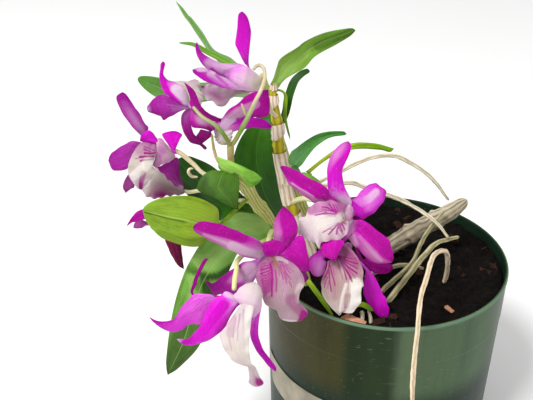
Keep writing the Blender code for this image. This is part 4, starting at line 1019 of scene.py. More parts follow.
# %% Roots
ROOTS = {
    "root_long_upper": ([(-46, -8, 180), (-38, -8, 184), (-29, -4, 187), (-15, 0, 192),
        (0, 4, 192), (13, 6, 185), (26, 8, 174), (38, 10, 158)], [1.3, 1.4, 1.5, 1.4, 0.9]),
    "root_long_lower": ([(-46, -10, 179), (-36, -16, 183), (-26, -15, 184), (-16, -13, 179),
        (-5, -11, 174), (7, -9, 168), (24, -13, 158), (34, -16, 147)], [1.3, 1.5, 1.6, 1.4, 0.9]),
    "root_in_pot_1": ([(-14, -38, 108), (-6, -33, 120), (4, -25, 125), (14, -16, 130),
        (19, -11, 140), (25, -9, 152), (32, -6, 160)], [1.8, 1.7, 1.6, 1.5, 1.0]),
    "root_in_pot_2": ([(-12, -46, 108), (-2, -40, 120), (9, -28, 127), (19, -19, 135),
        (28, -14, 142), (42, -10, 144)], [2.2, 2.1, 2.0, 1.9, 1.1]),
    "root_in_pot_3": ([(-22, -22, 108), (-14, -18, 119), (-4, -15, 123), (12, -8, 122),
        (26, -6, 116), (34, -6, 108)], [1.8, 1.7, 1.5, 1.2]),
    "root_over_rim": ([(34, -16, 108), (34, -22, 128), (30, -30, 146), (19, -47, 155),
        (12, -65, 152), (7, -78, 147), (6, -84, 134), (6, -85, 105), (8, -83, 78), (10, -84, 62)],
        [1.6, 1.6, 1.6, 1.5, 1.6, 1.1]),
    "root_front_stub": ([(-20, -46, 108), (-20, -54, 120), (-21, -62, 121)], [1.7, 1.7, 1.2]),
}
for number, (name, (path, radii)) in enumerate(ROOTS.items()):
    radii = [0.88 * radius for radius in radii]
    skins = [stem(path, radii, 110, 18, lumps=0.35, seed=number * 7.0)]
    if name == "root_front_stub":  # a second stub stands close by
        path = [seen(368, 310, -56), seen(370, 316, -58), seen(371, 324, -60)]
        skins.append(stem(path, (0.7, 1.1, 1.2), 20, 12))
    piece(name.replace("root", "velamen_root"), skins,
          [PINK_VELAMEN if name == "root_over_rim" else GREY_VELAMEN if "pot" in name
           else VELAMEN], "aerial_root", name)

# %% [markdown]
# ## Leaves
#
# A strap leaf leaves the cane nearly closed, opens along its midrib, and ends in a soft point. The
# small ones are sheets along a course. The broad ones have a short base of that kind, and a blade
# between two margins. All are thick in the middle and thin at the edge, with a sunken midrib and
# a faint ripple, and each has its own green.

# %% Courses of the leaves
LEAVES = {
    "leaf_top_narrow": ("grey", dict(points=[(-77, 14, 232)], width=5)),
    "leaf_top_small": ("mid", dict(points=[(-77, 11, 234), (-93, 4, 248), (-108, 2, 257),
        (-115, 2, 261), (-123, 2, 262)], width=3.4, cup=(50, 30))),
    "leaf_left_tip": ("grey", dict(points=[(-76, 13, 225), (-93, 0, 235), (-112, -8, 237),
        (-128, -14, 240), (-144, -18, 249)], width=12, cup=(40, 30), base=0.5, peak=0.75,
        tip=0.1)),
    "leaf_upper_right": ("fresh", dict(points=[(-73, 17, 226)], width=5)),
    "leaf_dark_narrow": ("dark", dict(points=[(-69, 15, 203), (-64, 12, 215), (-62, 14, 225),
        (-59, 17, 233), (-55, 19, 237), (-50, 21, 239)], width=5.5, cup=(70, 70), base=0.6,
        tip=0.45)),
    "leaf_thin_upright": ("grass", dict(points=[(-73, 14, 219), (-70, 9, 231), (-64, 8, 229),
        (-64, 8, 215), (-61, 7, 201)], width=4, face=(0.5, -0.8, 0.3), cup=(60, 40), base=0.8)),
    "leaf_mid_right": ("blue", dict(points=[(-55, -5, 180)], width=5)),
    "leaf_grass": ("grass", dict(points=[(-50, -5, 180)], width=5)),
    "leaf_small_right": ("mid", dict(points=[(-57, -5, 181), (-53, -11, 186), (-46, -15, 184),
        (-42, -18, 181)], width=6, cup=(50, 30))),
    "leaf_dark_wide": ("dark", dict(points=[(-72, 15, 216), (-79, 9, 206), (-81, 9, 186),
        (-76, 8, 164), (-66, 6, 146)], width=27, cup=(30, 20), base=0.3, peak=0.45, tip=0.15)),
    "leaf_heart_shaded": ("shade", dict(points=[(-91, -42, 202)], width=5)),
    "leaf_small_tip": ("mid", dict(points=[(-93, -43, 206)], width=5)),
    "leaf_bright_oval": ("bright", dict(points=[(-83, -36, 188)], width=2.4)),
    "leaf_shaded_back": ("dark", dict(points=[(-89, -40, 200)], width=5)),
    "leaf_long_low": ("pale", dict(points=[(-76, -31, 172)], width=5)),
    "leaf_grass_low": ("grass", dict(points=[(-53, -23, 124), (-49, -42, 131), (-42, -54, 127),
        (-36, -60, 119)], width=3.2, cup=(40, 30), base=0.7)),
}
LEAF_OUTLINES = {
    "leaf_heart_shaded": sail([(227.8, 175.3), (215, 170.4), (207.3, 172.1), (201, 177.8),
        (197.4, 185.5), (197.9, 190.3), (207.3, 195), (218.8, 200.1), (238.6, 210.7)],
        [(230.3, 174.7), (234.1, 173.7), (238, 176.5), (239.6, 182.3), (238.3, 202)],
        (-44, -50, -55, -59, -60), crown=(1, 4, 4, 2, 0)),
    "leaf_small_tip": sail([(216.3, 156.1), (234.1, 162.5), (253.3, 171.4), (260.3, 176.5),
        (262.4, 179.1)], [(220.7, 171.4), (227.8, 174.6), (235.4, 173.3), (243.1, 179.1),
        (248.8, 186.7), (255.8, 185.2)], (-47, -50, -49)),
    "leaf_bright_oval": sail([(219.1, 225), (218.8, 212.2), (215.6, 206.9), (204.8, 200.1),
        (189.5, 195.9), (176.7, 195.7), (162.7, 197.6), (151.2, 201.7), (144.2, 206.9),
        (142.7, 211)], [(217.6, 228.8), (209.9, 235.2), (203.5, 242.9), (197.1, 246.9),
        (184.4, 245.8), (171.6, 242.2), (161.4, 237.5), (152.5, 229.5), (146.1, 220.5)],
        (-52, -56, -60, -61, -61), crown=(-1, -1.5, -1, 0)),
    "leaf_upper_right": sail([(267.6, 89.4), (273.4, 77.7), (276.6, 67.4), (280.8, 58.3),
        (297.4, 47.3), (305.1, 41.5), (323.3, 33), (344, 28.8), (352.4, 28.2), (355.6, 30.6)],
        [(277.3, 89.4), (285.7, 79), (302.5, 69.3), (307.7, 64.8), (315.5, 56), (333.6, 46),
        (349.2, 36.9)], (18, 20, 22, 24, 26), crown=(-3, -3, -1, 0)),
    "leaf_mid_right": sail([(287, 163.2), (290.7, 152.8), (294.9, 148.7), (312.3, 136.6),
        (327.2, 131.7), (343, 131.2), (346.8, 134.1)], [(299, 167.5), (303.2, 163.2),
        (311.5, 151.6), (321.4, 142.4), (332.2, 137), (343.8, 135.5)], (0, 3, 5, 6),
        crown=(-3, -3, -1, 0)),
    "leaf_grass": sail([(305.2, 171.9), (321.4, 159), (336.3, 148.7), (343.8, 145.3),
        (359.6, 142.3), (377.8, 143.7), (394, 148.4)], [(309.8, 173.3), (323.1, 162.3),
        (336.3, 154), (343.8, 151.1), (359.6, 148.9), (379.5, 149.9), (389.8, 152.1)],
        (2, 4, 6, 8, 10), crown=(0.3, 0.5, 0.3, 0)),
    "leaf_top_narrow": sail([(248.8, 80.3), (242.4, 76.4), (224.5, 67.5), (215.6, 59.2),
        (210, 55.4), (206, 48.4), (190.7, 24.8), (184.6, 17), (175.6, 1)], [(249.4, 76.4),
        (244.9, 70.1), (236, 62.1), (229.6, 57), (214.3, 49.6), (202.2, 31.8), (191.4, 17.8),
        (188.5, 15.5), (183, 8.5)], (12, 12, 13, 15, 20, 26), crown=(-2, -2, -1, -0.8, -0.6, 0)),
    "leaf_long_low": sail([(266, 216), (257, 214), (245, 212.5), (238, 212), (228, 217),
        (218, 222), (207, 235), (194, 254), (183, 276), (172, 315), (166.5, 355), (166.3, 368),
        (167.7, 375)], [(273, 229), (268, 240), (252, 247), (240, 251), (233, 262), (226, 278),
        (216.6, 296), (209, 318), (199.3, 345.7), (180, 367)], (-33, -38, -44, -52, -58, -62, -64),
        crown=(2, 4, 3, 2, 1, 0)),
    "leaf_shaded_back": sail([(257, 206), (246, 198), (232, 184), (222, 174), (210, 165),
        (198, 159), (186, 156), (175, 160)], [(259, 216), (244, 216), (230, 218), (217, 221),
        (205, 215), (192, 201), (182, 187), (177, 172)], (-16, -33, -28, -22, -20),
        crown=(0, 1, 1, 0)),
}
# Painted light and shade on five leaves: darker bands of painted shadow, lighter patches of
# painted light, and dark midribs.
LEAF_SHADE_AND_RIBS = {
    "leaf_long_low": [(0.5, 2.8, [(189, 267), (197, 273), (207, 276.5), (218, 276), (228, 269),
        (238, 263)]), (0.5, 5, [(201, 285), (209, 291), (216, 296)]), (0.3, 10, [(194, 325),
        (182, 348), (171, 368)]), (-0.3, 6, [(196, 262), (208, 264), (220, 252), (240, 236)]),
        (-0.3, 4, [(194, 279), (196, 290), (190, 304)]), (-0.35, 7, [(240, 221), (262, 227)])],
    "leaf_bright_oval": [(0.4, 0.5, [(145, 212), (160, 216), (178, 220), (197, 223.7)]), (0.2, 4,
        [(160, 236), (185, 243), (204, 241)])],
    "leaf_heart_shaded": [(0.2, 4, [(202, 180), (203, 188), (212, 194)])],
    "leaf_shaded_back": [(0.4, 6, [(180, 190), (200, 205), (215, 213)])],
    "leaf_upper_right": [(-0.15, 4, [(280, 76), (296, 62), (306, 54)]), (0.25, 3, [(318, 46),
        (336, 38), (352, 31)])],
}
for number, (name, (look, kind)) in enumerate(LEAVES.items()):
    seed = number * 1.7
    if name in LEAF_OUTLINES:
        # A short folded base clasps the cane, and the outlined blade opens from it.
        outlined = dict(LEAF_OUTLINES[name], ruffle=0.2, ripples=4, rib=0.3)
        start = [seen(*outlined[side][0], outlined["depth"][0]) for side in ("left", "right")]
        kind["points"].append(sum(start) / 2)
        skins = [blade(base=0.8, tip=0.8, rows=24, columns=12, seed=seed, **kind),
                 spread(outlined, 90, 36, LEAF_THICKNESS, seed, marks=LEAF_SHADE_AND_RIBS.get(name, ()))]
    elif kind["width"] > 8:
        skins = [blade(rib=0.35, ruffle=0.25, rows=70, columns=28, seed=seed, **kind)]
    else:
        skins = [blade(rib=0.15, ruffle=0.1, rows=70, seed=seed, **kind)]
    if name == "leaf_grass_low":  # the tip of one more blade shows beside it
        path = [seen(*spot, -57) for spot in ((354, 307), (361, 304.5), (368, 307), (373, 311))]
        skins.append(blade(path, 3.4, face=(0, -0.6, 0.8), cup=(30, 20), thick=0.6))
    piece(name.replace("leaf", "strap_leaf"), skins, [LEAF[look]], "leaf", name)

# %% [markdown]
# ## Blooms
#
# Each bloom has a round heart, where the tepals grow together. One to seven tepals spread from
# it, as far as they show, and the lip opens below. Every tepal is a sheet between two margins,
# with its own colour; the lip is a wider sheet, ruffled round its edge. All the margins are read
# off in the picture plane, and each sheet gets its depth from what it covers.

# %% Courses of the blooms
BLOOMS = {
    "bloom_top": dict(heart=[(-87, -28, 256), (-84, -28, 254), (-79, -28, 249)], heart_radii=[2.5,
        5.0, 4.4], stalk=([seen(*spot) for spot in ((253, 70, -28), (256, 66.5, -26),
        (260, 65.2, -25), (263.6, 68, -26), (264.6, 74, -28), (264.2, 81, -32), (260.5, 91, -37),
        (254.5, 103, -39), (249.4, 114, -40), (243, 126.5, -42), (236, 139, -43),
        (231, 146, -43))], [0.95, 1.05, 1.1, 1.15, 1.2, 1.3, 1.35, 1.45, 1.4, 1.4])),
    "bloom_back": dict(heart=[(-113, -39, 242), (-114, -36, 242)], heart_radii=[2.6, 3.6],
        stalk=([(-113, -40, 242), (-108, -46, 239), (-101, -48, 235), (-97, -47, 229),
        (-94, -43, 221)], [1.0, 1.1, 1.2, 1.4])),
    "bloom_left": dict(heart=[(-128, -43, 218), (-131, -44, 219)], heart_radii=[3.2, 3.8],
        stalk=([(-128, -42, 218), (-122, -40, 216), (-115, -39, 209), (-108, -41, 203),
        (-98, -42, 203), (-91, -41, 204)], [1.3, 1.4, 1.3, 1.4])),
    "bloom_behind": dict(heart=[(-89, -21, 228), (-91, -23, 228)], heart_radii=[1.6, 1.6],
        stalk=([(-89, -21, 228), (-87, -12, 233), (-80, -8, 238), (-75, -6, 234), (-73, -3, 225),
        (-69, 1, 218)], [1.2, 1.3, 1.3, 1.4])),
    "bloom_small_left": dict(heart=[(-121, -38, 192), (-124, -39, 194)], heart_radii=[3.0, 3.6],
        stalk=([(-121, -38, 191), (-117, -37, 190), (-111, -37, 191), (-98, -38, 193),
        (-86, -38, 192)], [1.2, 1.2, 1.2, 1.3])),
    "bloom_under_leaf": dict(heart=[(-129, -37, 171), (-131, -39, 171)], heart_radii=[3.0, 3.4],
        stalk=([(-129, -37, 171), (-120, -31, 173), (-106, -28, 176), (-92, -29, 180),
        (-80, -33, 181)], [1.2, 1.2, 1.3, 1.4])),
    "bloom_middle": dict(heart=[(-74, -54, 162), (-74, -64, 166)], heart_radii=[4.0, 4.2],
        stalk=([(-74, -56, 163), (-74, -46, 164), (-72, -31, 162)], [1.6, 1.6, 1.8])),
    "bloom_low_left": dict(heart=[(-79, -90, 161), (-85, -92, 160)], heart_radii=[4.6, 4.6],
        stalk=([seen(234, 291, -89), seen(234.6, 281, -84), seen(236.4, 270, -76),
        seen(237.4, 261, -67), (-83, -52, 163), (-70, -27, 156)], [1.4, 1.5, 1.5, 1.4, 1.5])),
    "bloom_right": dict(heart=[(-26, -40, 179), (-32, -45, 182)], heart_radii=[3.6, 4.2],
        stalk=([(-29, -41, 180), (-42, -28, 178), (-51, -18, 175), (-56, -10, 170),
        (-61, -3, 163)], [1.4, 1.8, 1.8, 1.8])),
    "bloom_low_right": dict(heart=[(-28, -40, 157), (-31, -48, 160)], heart_radii=[3.4, 3.6],
        stalk=([(-30, -42, 157), (-40, -24, 152), (-53, -5, 146)], [1.4, 1.7, 1.8])),
}

print("blooms:", list(BLOOMS))

# %% [markdown]
# ## Outlines
#
# The blooms are taken one by one, from the top down the plant. In each list a sail that hides
# another comes with a nearer depth, and not with a later place.

# %% Outlines of the tepals and lips
OUTLINES = {}
# The top bloom hangs side on: a raised tepal, two swept ones and the lip below.
OUTLINES["bloom_top"] = [
    sail([(247.8, 66.5), (244.3, 63), (237, 48.4), (235.2, 42.6), (237, 30.5), (237.9, 17.1),
        (239.2, 13.3), (241.4, 11.6)], [(249.1, 66.9), (250.8, 36.9), (250.8, 29.2), (247.8, 17.8),
        (243.4, 12.3)], (-28, -29, -30, -32, -34), look="sunlit", crown=(1, 2, 2, 1, 0),
        tones=((0.6, 0.3, 0.5, 0.1, 0.35), (0.25, 0.16, 0.3, 0.12, -0.45),
        (0.5, 0.8, 0.8, 0.25, 0.25))),
    sail([(246.2, 77.1), (239.2, 79.9), (225.8, 78.7), (206.7, 68.8), (197.8, 57.3), (195.2, 45.8),
        (197, 41.9)], [(248.1, 67.8), (237.9, 63.5), (224.5, 63.4), (218.2, 61.8), (202.9, 53.2)],
        (-31, -34, -37, -39, -40), look="lilac", crown=(3, 4, 3, 1, 0),
        tones=((0.1, 0.25, 0.3, 0.3, 0.45), (0.5, 0.96, 0.8, 0.1, 0.5))),
    sail([(257.1, 91.1), (248.8, 90.1), (229.6, 89.5), (206, 81.5), (194.6, 73.9), (192.2, 69.7)],
        [(246.2, 76.4), (239.2, 79), (232.2, 79.3), (220.7, 75.8), (214.3, 72), (204.1, 67.8),
        (197.8, 67.8)], (-32, -36, -40, -43, -44), look="lilac", crown=(3, 3, 2, 1, 0),
        tones=((0.05, 0.75, 0.45, 0.25, 0.75), (0.5, 0.1, 0.9, 0.25, -0.35),
        (0.4, 0.45, 0.3, 0.12, 0.3))),
    sail([(255.2, 91.1), (237.9, 94.3), (232.2, 97.8), (230, 99), (226.8, 103.8), (223, 106.8),
        (219.8, 106.7), (211.5, 101), (207.1, 99.6), (203.9, 95.8), (200.2, 87.2)], [(253.9, 89.8),
        (225.8, 87.9), (212.4, 84.1), (207.7, 84), (205.2, 85.3), (202.6, 85.6)],
        (-30, -32, -34, -35, -35), crown=(1, 3, 3, 1, 0), tones=((0.5, 0.7, 0.25, 0.18, 0.3),
        (0.8, 0.97, 0.3, 0.06, 0.6)), look="lip"),
]
# The bloom behind it turns away, so its dark backs show and its lip is half hidden.
OUTLINES["bloom_back"] = [
    sail([(189.8, 106), (183.5, 105.1), (175.8, 102.1), (164.3, 92.6), (159.6, 79.2),
        (160.3, 67.8), (160.5, 63.9), (162.9, 61.2)], [(189.2, 102.2), (185.4, 90.7),
        (175.8, 82.4), (169.4, 81.1), (163.5, 74.1), (165.2, 63.9)], (-37, -39, -40, -40, -38),
        look="sunlit", crown=(3, 4, 3, 1, 0), tones=((0.1, 0.5, 0.25, 0.4, 0.5),
        (0.85, 0.25, 0.4, 0.25, -0.5), (0.5, 0.9, 1, 0.15, 0.5))),
    sail([(189.2, 108.6), (183.5, 109.8), (169.4, 117.2), (163.4, 120.1), (160.5, 116.5),
        (148.1, 111.8)], [(188.6, 105.4), (183.5, 105.3), (174.5, 100.8), (166.9, 95.8),
        (161.8, 94.7), (156, 96.5), (147.8, 105.4), (147.1, 109.2)], (-37, -39, -41, -42, -42),
        look="shaded", crown=(2, 3, 2, 0), tones=((0.2, 0.7, 0.4, 0.15, 0.4),
        (0.7, 0.95, 0.4, 0.08, -0.5))),
    sail([(186, 109.2), (181.9, 114.3), (181, 121.3), (182.3, 129), (185.4, 135.7), (190.5, 142.5),
        (199.4, 145.2), (204.2, 149.4), (205.8, 149.4)], [(192.4, 111.1), (190.5, 116.2),
        (190.4, 122), (193.7, 133.1), (200.1, 139.8), (202, 143), (205.8, 146.2), (206.9, 148.4)],
        (-36, -36, -36, -35, -35), look="crimson", tones=((0.5, 0.1, 0.8, 0.2, -0.6),)),
    sail([(210.9, 130.9), (201.3, 129.3), (198.8, 132.2), (194.3, 139.2), (195.6, 143),
        (199.1, 144.9)], [(212.2, 134.1), (210.6, 137), (201.3, 144.3)], (-34, -34, -34),
        look="crimson", crown=(1, 1, 0), tones=((0.5, 0.8, 0.8, 0.3, 0.4),)),
    sail([(189.2, 107.9), (188.6, 119.4), (192.4, 127.1), (202.6, 128.7), (211.5, 131.5)],
        [(191.1, 107.3), (202.6, 117.5), (213.8, 126.4), (214.4, 129)], (-36, -36, -35, -33),
        crown=(2, 2, 1, 0), tones=((0.5, 0.1, 0.5, 0.25, 0.3), (0.75, 0.5, 0.25, 0.2, -0.45))),
    sail([(191.1, 108.6), (189.2, 103.5), (190.2, 99), (187.3, 89.4), (184, 82.3)],
        [(194.3, 109.8), (201.3, 107.9), (199.4, 102.2), (193.7, 89.8)], (-38, -40, -42, -42),
        crown=(1, 1, 0), tones=((0.5, 0.6, 0.8, 0.5, 0.4),)),
    sail([(192.4, 106), (202, 115.9), (214.1, 121.6), (220.8, 122.6)], [(196.2, 104.7),
        (200.7, 106), (205.2, 110.5), (210.3, 114), (221.4, 118.8)], (-39, -36, -33),
        crown=(1, 1, 0), tones=((0.5, 0.7, 0.8, 0.5, 0.75),), joined=False),
    sail([(189.2, 106), (188.6, 96.5), (184.7, 90.7), (174.5, 82.4), (179.6, 80.7), (186, 81.8),
        (194.9, 79.2)], [(197.5, 106), (200.7, 105.4), (203.9, 96.5), (202, 92), (199.7, 90.7),
        (200.1, 85), (198.8, 81.1)], (-34, -30, -26, -24), crown=(2, 3, 2, 0), look="lip"),
]
# The left bloom faces the light, with its column over a broad lip.
OUTLINES["bloom_left"] = [
    sail([(145.1, 137.8), (140.6, 135.5), (130.6, 124.8), (120.7, 110.2), (116.3, 97.2),
        (122.2, 92)], [(149, 134), (148.2, 127.1), (145.1, 123.6), (139, 112.5), (134.4, 106.4),
        (126.8, 94.9)], (-45, -46, -46, -45, -44), look="shaded", crown=(1, 2, 2, 1, 0),
        tones=((0.5, 0.45, 0.25, 0.3, -0.25), (0.5, 0.97, 0.8, 0.06, 0.5))),
    sail([(158.1, 141.6), (157.4, 145.4), (153.6, 144.7), (142.8, 142), (139.6, 140.5)],
        [(156.6, 138.6), (149.7, 130.1), (141.7, 134.7)], (-49, -50, -51), look="vivid",
        tones=((0.7, 0.5, 0.4, 0.5, 0.5),)),
    sail([(142.8, 153.9), (136.7, 157.7), (132.1, 162.3), (126.8, 169.2), (119.1, 170.4),
        (112.6, 170.1), (108.3, 160.4)], [(142.8, 143.1), (139.8, 141.5), (132.9, 140.9),
        (125.2, 143.9), (113.8, 151.2), (109.9, 155.4)], (-47, -48, -48, -46, -45), look="shaded",
        crown=(2, 2, 1, 0), tones=((0.3, 0.6, 0.4, 0.3, 0.15), (0.5, 0.1, 0.8, 0.2, -0.3))),
    sail([(171.2, 150.8), (163.9, 138.6), (162.1, 134), (167.3, 131.8), (175, 130.9)],
        [(176.1, 153.9), (175.4, 150), (179.6, 140.1), (182, 134.3)], (-44, -40, -37, -36),
        look="sunlit", tones=((0.5, 0.7, 0.9, 0.5, 0.5),)),
    sail([(132.9, 169.2), (127.5, 175.3), (124.1, 181.4), (122.8, 187.5), (125.6, 193)],
        [(136.7, 175.3), (134.4, 186.8), (131.4, 188.7)], (-42, -40, -38, -36), look="crimson",
        crown=(1, 1, 0), tones=((0.5, 0.5, 0.8, 0.8, -0.2),)),
    sail([(175.7, 157.3), (168.9, 162.3), (161.2, 165), (156.2, 168), (152.8, 165)],
        [(175.4, 155.4), (166.6, 143.9), (161.2, 138.6), (156.6, 139.3), (156.6, 146.2),
        (156.2, 153.9)], (-45, -50, -53), look="blush", crown=(2, 3, 1)),
    sail([(149, 143.9), (141.3, 142.4), (136, 148.5), (131.4, 156.2), (128.3, 165.3),
        (128.6, 175.3), (136.7, 187.5), (141.7, 190)], [(156.6, 145.4), (157, 151.6),
        (152.9, 164.6), (154.7, 168.8), (153.6, 175.3)], (-50, -55, -58, -58, -55),
        crown=(1, 3, 4, 2, 0), tones=((0.5, 0.95, 0.18, 0.12, 0.4), (0.3, 0.1, 0.5, 0.12, 0.25)),
        look="lip"),
]
# Only one tepal and the lip of this one show, below the left bloom.
OUTLINES["bloom_small_left"] = [
    sail([(183.5, 191.5), (176, 189), (169, 183.5), (163, 177.5), (157.5, 172), (155.5, 167)],
        [(182.6, 184.5), (180.3, 176.8), (178.4, 160), (175.7, 157.3), (167.3, 162.3),
        (158.1, 167.6)], (-38, -37, -36, -35), look="shaded", tones=((0.8, 0.4, 0.3, 0.5, 0.3),),
        joined=False),
    sail([(183.4, 194), (167.3, 196.1), (158.1, 198.6), (149, 197.5), (144, 193.6),
        (141.7, 188.3)], [(184.9, 191.4), (178, 187.5), (171.2, 182.2), (158.9, 169.9),
        (153.6, 169.2), (149, 178.3)], (-40, -43, -46, -46), crown=(1, 3, 3, 0),
        tones=((0.15, 0.55, 0.3, 0.25, 0.45), (0.6, 0.4, 0.2, 0.3, 0.15),
        (0.9, 0.6, 0.2, 0.5, -0.2)), look="lip"),
]
# A bloom behind the spray, cut by the stalks in front of it.
OUTLINES["bloom_behind"] = [
    sail([(219, 128), (222, 119), (228, 110), (237, 104), (246, 96), (256, 91), (268.5, 89.5)],
        [(221, 131), (241, 119), (262, 117), (268, 115.5), (270, 109)], (-24, -22, -19, -16),
        crown=(2, 3, 1, 0), tones=((0.5, 0.15, 0.5, 0.25, -0.3), (0.4, 0.8, 0.5, 0.3, 0.2))),
    sail([(222, 131), (232, 122.5), (242, 118), (252, 117.3), (262, 118.7), (268, 122),
        (272.3, 126.3)], [(225, 136), (234, 131.5), (252, 128), (268, 129)], (-25, -24, -22, -20),
        look="vivid", crown=(2, 2, 1, 0), tones=((0.5, 0.8, 0.9, 0.4, 0.5),
        (0.7, 0.05, 0.5, 0.2, -0.5))),
    sail([(221, 143), (213, 129), (215, 122), (222, 118), (230, 113)], [(227, 142), (231, 135),
        (236, 128), (239, 121), (236, 116)], (-26, -25, -24, -22), look="lilac"),
    sail([(216, 130), (214.5, 135), (215.6, 140), (219, 144), (224, 145), (228, 144)], [(222, 129),
        (226, 130), (232, 130), (232.5, 136), (231, 141)], (-27, -30, -31, -31),
        crown=(1, 2, 2, 0), look="lip"),
]
# Three dark backs under the oval leaf.
OUTLINES["bloom_under_leaf"] = [
    sail([(150, 213), (146, 209.5), (141, 209.5), (136, 212.5), (131, 218), (126.6, 226.3)],
        [(150, 221), (146, 219), (136.5, 222), (132, 222.5)], (-40, -42, -43), crown=(1, 1, 0),
        tones=((0.2, 0.3, 0.5, 0.5, 0.4),)),
    sail([(150, 222), (142, 220), (137, 221), (134, 224), (133.3, 227.8)], [(152, 226),
        (147, 225.5), (143, 227.5), (138, 228.5)], (-39, -38, -37), look="crimson",
        crown=(1, 1, 0), tones=((0.5, 0.5, 0.9, 0.9, -0.3),)),
    sail([(160, 226), (168.5, 249), (173.5, 259), (178.5, 266), (184, 269)], [(176, 224),
        (180, 236), (181.5, 248)], (-38, -37, -36), look="wine", crown=(1, 1, 0)),
]
# The middle bloom of the lower row, with the largest lip.
OUTLINES["bloom_middle"] = [
    sail([(262.1, 256.8), (257.1, 258.7), (244.7, 257.2), (220.7, 245.6), (200.8, 235.6),
        (194.5, 231.1), (192.7, 227.3)], [(262.5, 243.9), (257.1, 239.4), (243, 233.1),
        (218.2, 223.6), (201.6, 221.4), (195.8, 223.6)], (-66, -70, -73, -76, -78),
        crown=(1, 2, 2, 2, 0), tones=((0.75, 0.75, 0.28, 0.25, 0.45),
        (0.3, 0.45, 0.35, 0.35, -0.35), (0.5, 0.02, 0.9, 0.1, -0.6))),
    sail([(267.9, 253), (271.7, 244.8), (274.4, 232.3), (273.6, 225.7), (275, 219), (278.3, 212.8),
        (283.7, 206)], [(284.5, 251.4), (295.3, 238.1), (297.9, 230.7), (296.9, 223.2),
        (293.6, 215.7), (288.2, 209.5)], (-65, -66, -66, -65), crown=(2, 3, 2, 0),
        tones=((0.2, 0.45, 0.25, 0.3, -0.25), (0.55, 0.7, 0.25, 0.3, 0.3))),
    sail([(268.7, 258), (264.6, 254.7), (261.5, 244.8), (268.7, 241)], [(278.7, 256.4),
        (284.5, 251.4), (287, 247.2), (282.8, 243.1), (276.2, 240.2)], (-69, -71, -72, -70),
        crown=(2, 2, 1, 0), tones=((0.5, 0.05, 0.9, 0.2, -0.5), (0.5, 0.85, 0.9, 0.25, 0.2))),
    sail([(278.7, 256.4), (299, 269), (304.4, 271.7), (308.5, 271.7)], [(280.4, 251.4),
        (287, 248.1), (292.8, 242.3), (296.9, 236.5), (302.1, 235.5), (304.6, 239.4),
        (308.5, 257.2), (309.5, 267.1)], (-69, -72, -75, -76), crown=(2, 3, 2, 0),
        tones=((0.5, 0.7, 0.9, 0.5, 0.25),)),
    sail([(258.8, 266.3), (257.1, 274.6), (250.5, 287), (246.4, 293.7), (234.8, 296.2),
        (220.7, 294.9), (215.7, 295.7), (211.5, 291.6), (209, 286.2), (205.6, 282.1)],
        [(261.3, 256.4), (256.3, 259.3), (243, 262.6), (231.4, 270), (224.8, 273.9),
        (218.2, 279.6), (212.4, 283.1), (209, 281.7), (205.6, 280.8)], (-67, -68, -69, -69, -70),
        look="shaded", crown=(2, 3, 2, 1, 0), tones=((0.35, 0.35, 0.22, 0.14, -0.5),
        (0.5, 0.75, 0.7, 0.22, 0.55)), joined=False),
    sail([(292, 269.6), (295.3, 274.6), (301.1, 282.1), (304.4, 283.3)], [(299.4, 267.1),
        (303.6, 269.6), (308.5, 277.9)], (-62, -58, -56), look="shaded", crown=(1, 1, 0)),
    sail([(264.6, 258), (258.8, 263.8), (256.3, 271.3), (255.9, 277.9), (257.6, 284.6),
        (264.6, 302.8), (272.9, 309), (276.6, 310.4), (279.5, 317.7), (284.5, 320.6),
        (291.1, 321.9)], [(277, 256.8), (282.8, 257.2), (295.3, 265.1), (300.7, 271.3),
        (304, 278.7), (304.4, 285.4), (301.1, 290.4), (299.3, 295.7), (299.8, 302), (306.9, 310.3),
        (307.6, 314.4), (304.4, 318.5), (299.4, 321)], (-72, -80, -85, -87, -86, -83, -81),
        crown=(-3, -1, 1, 3, 3, 1, 0), tones=((0.88, 0.86, 0.12, 0.07, 0.9),
        (0.5, 0.05, 0.5, 0.08, -0.3)), look="lip"),
]
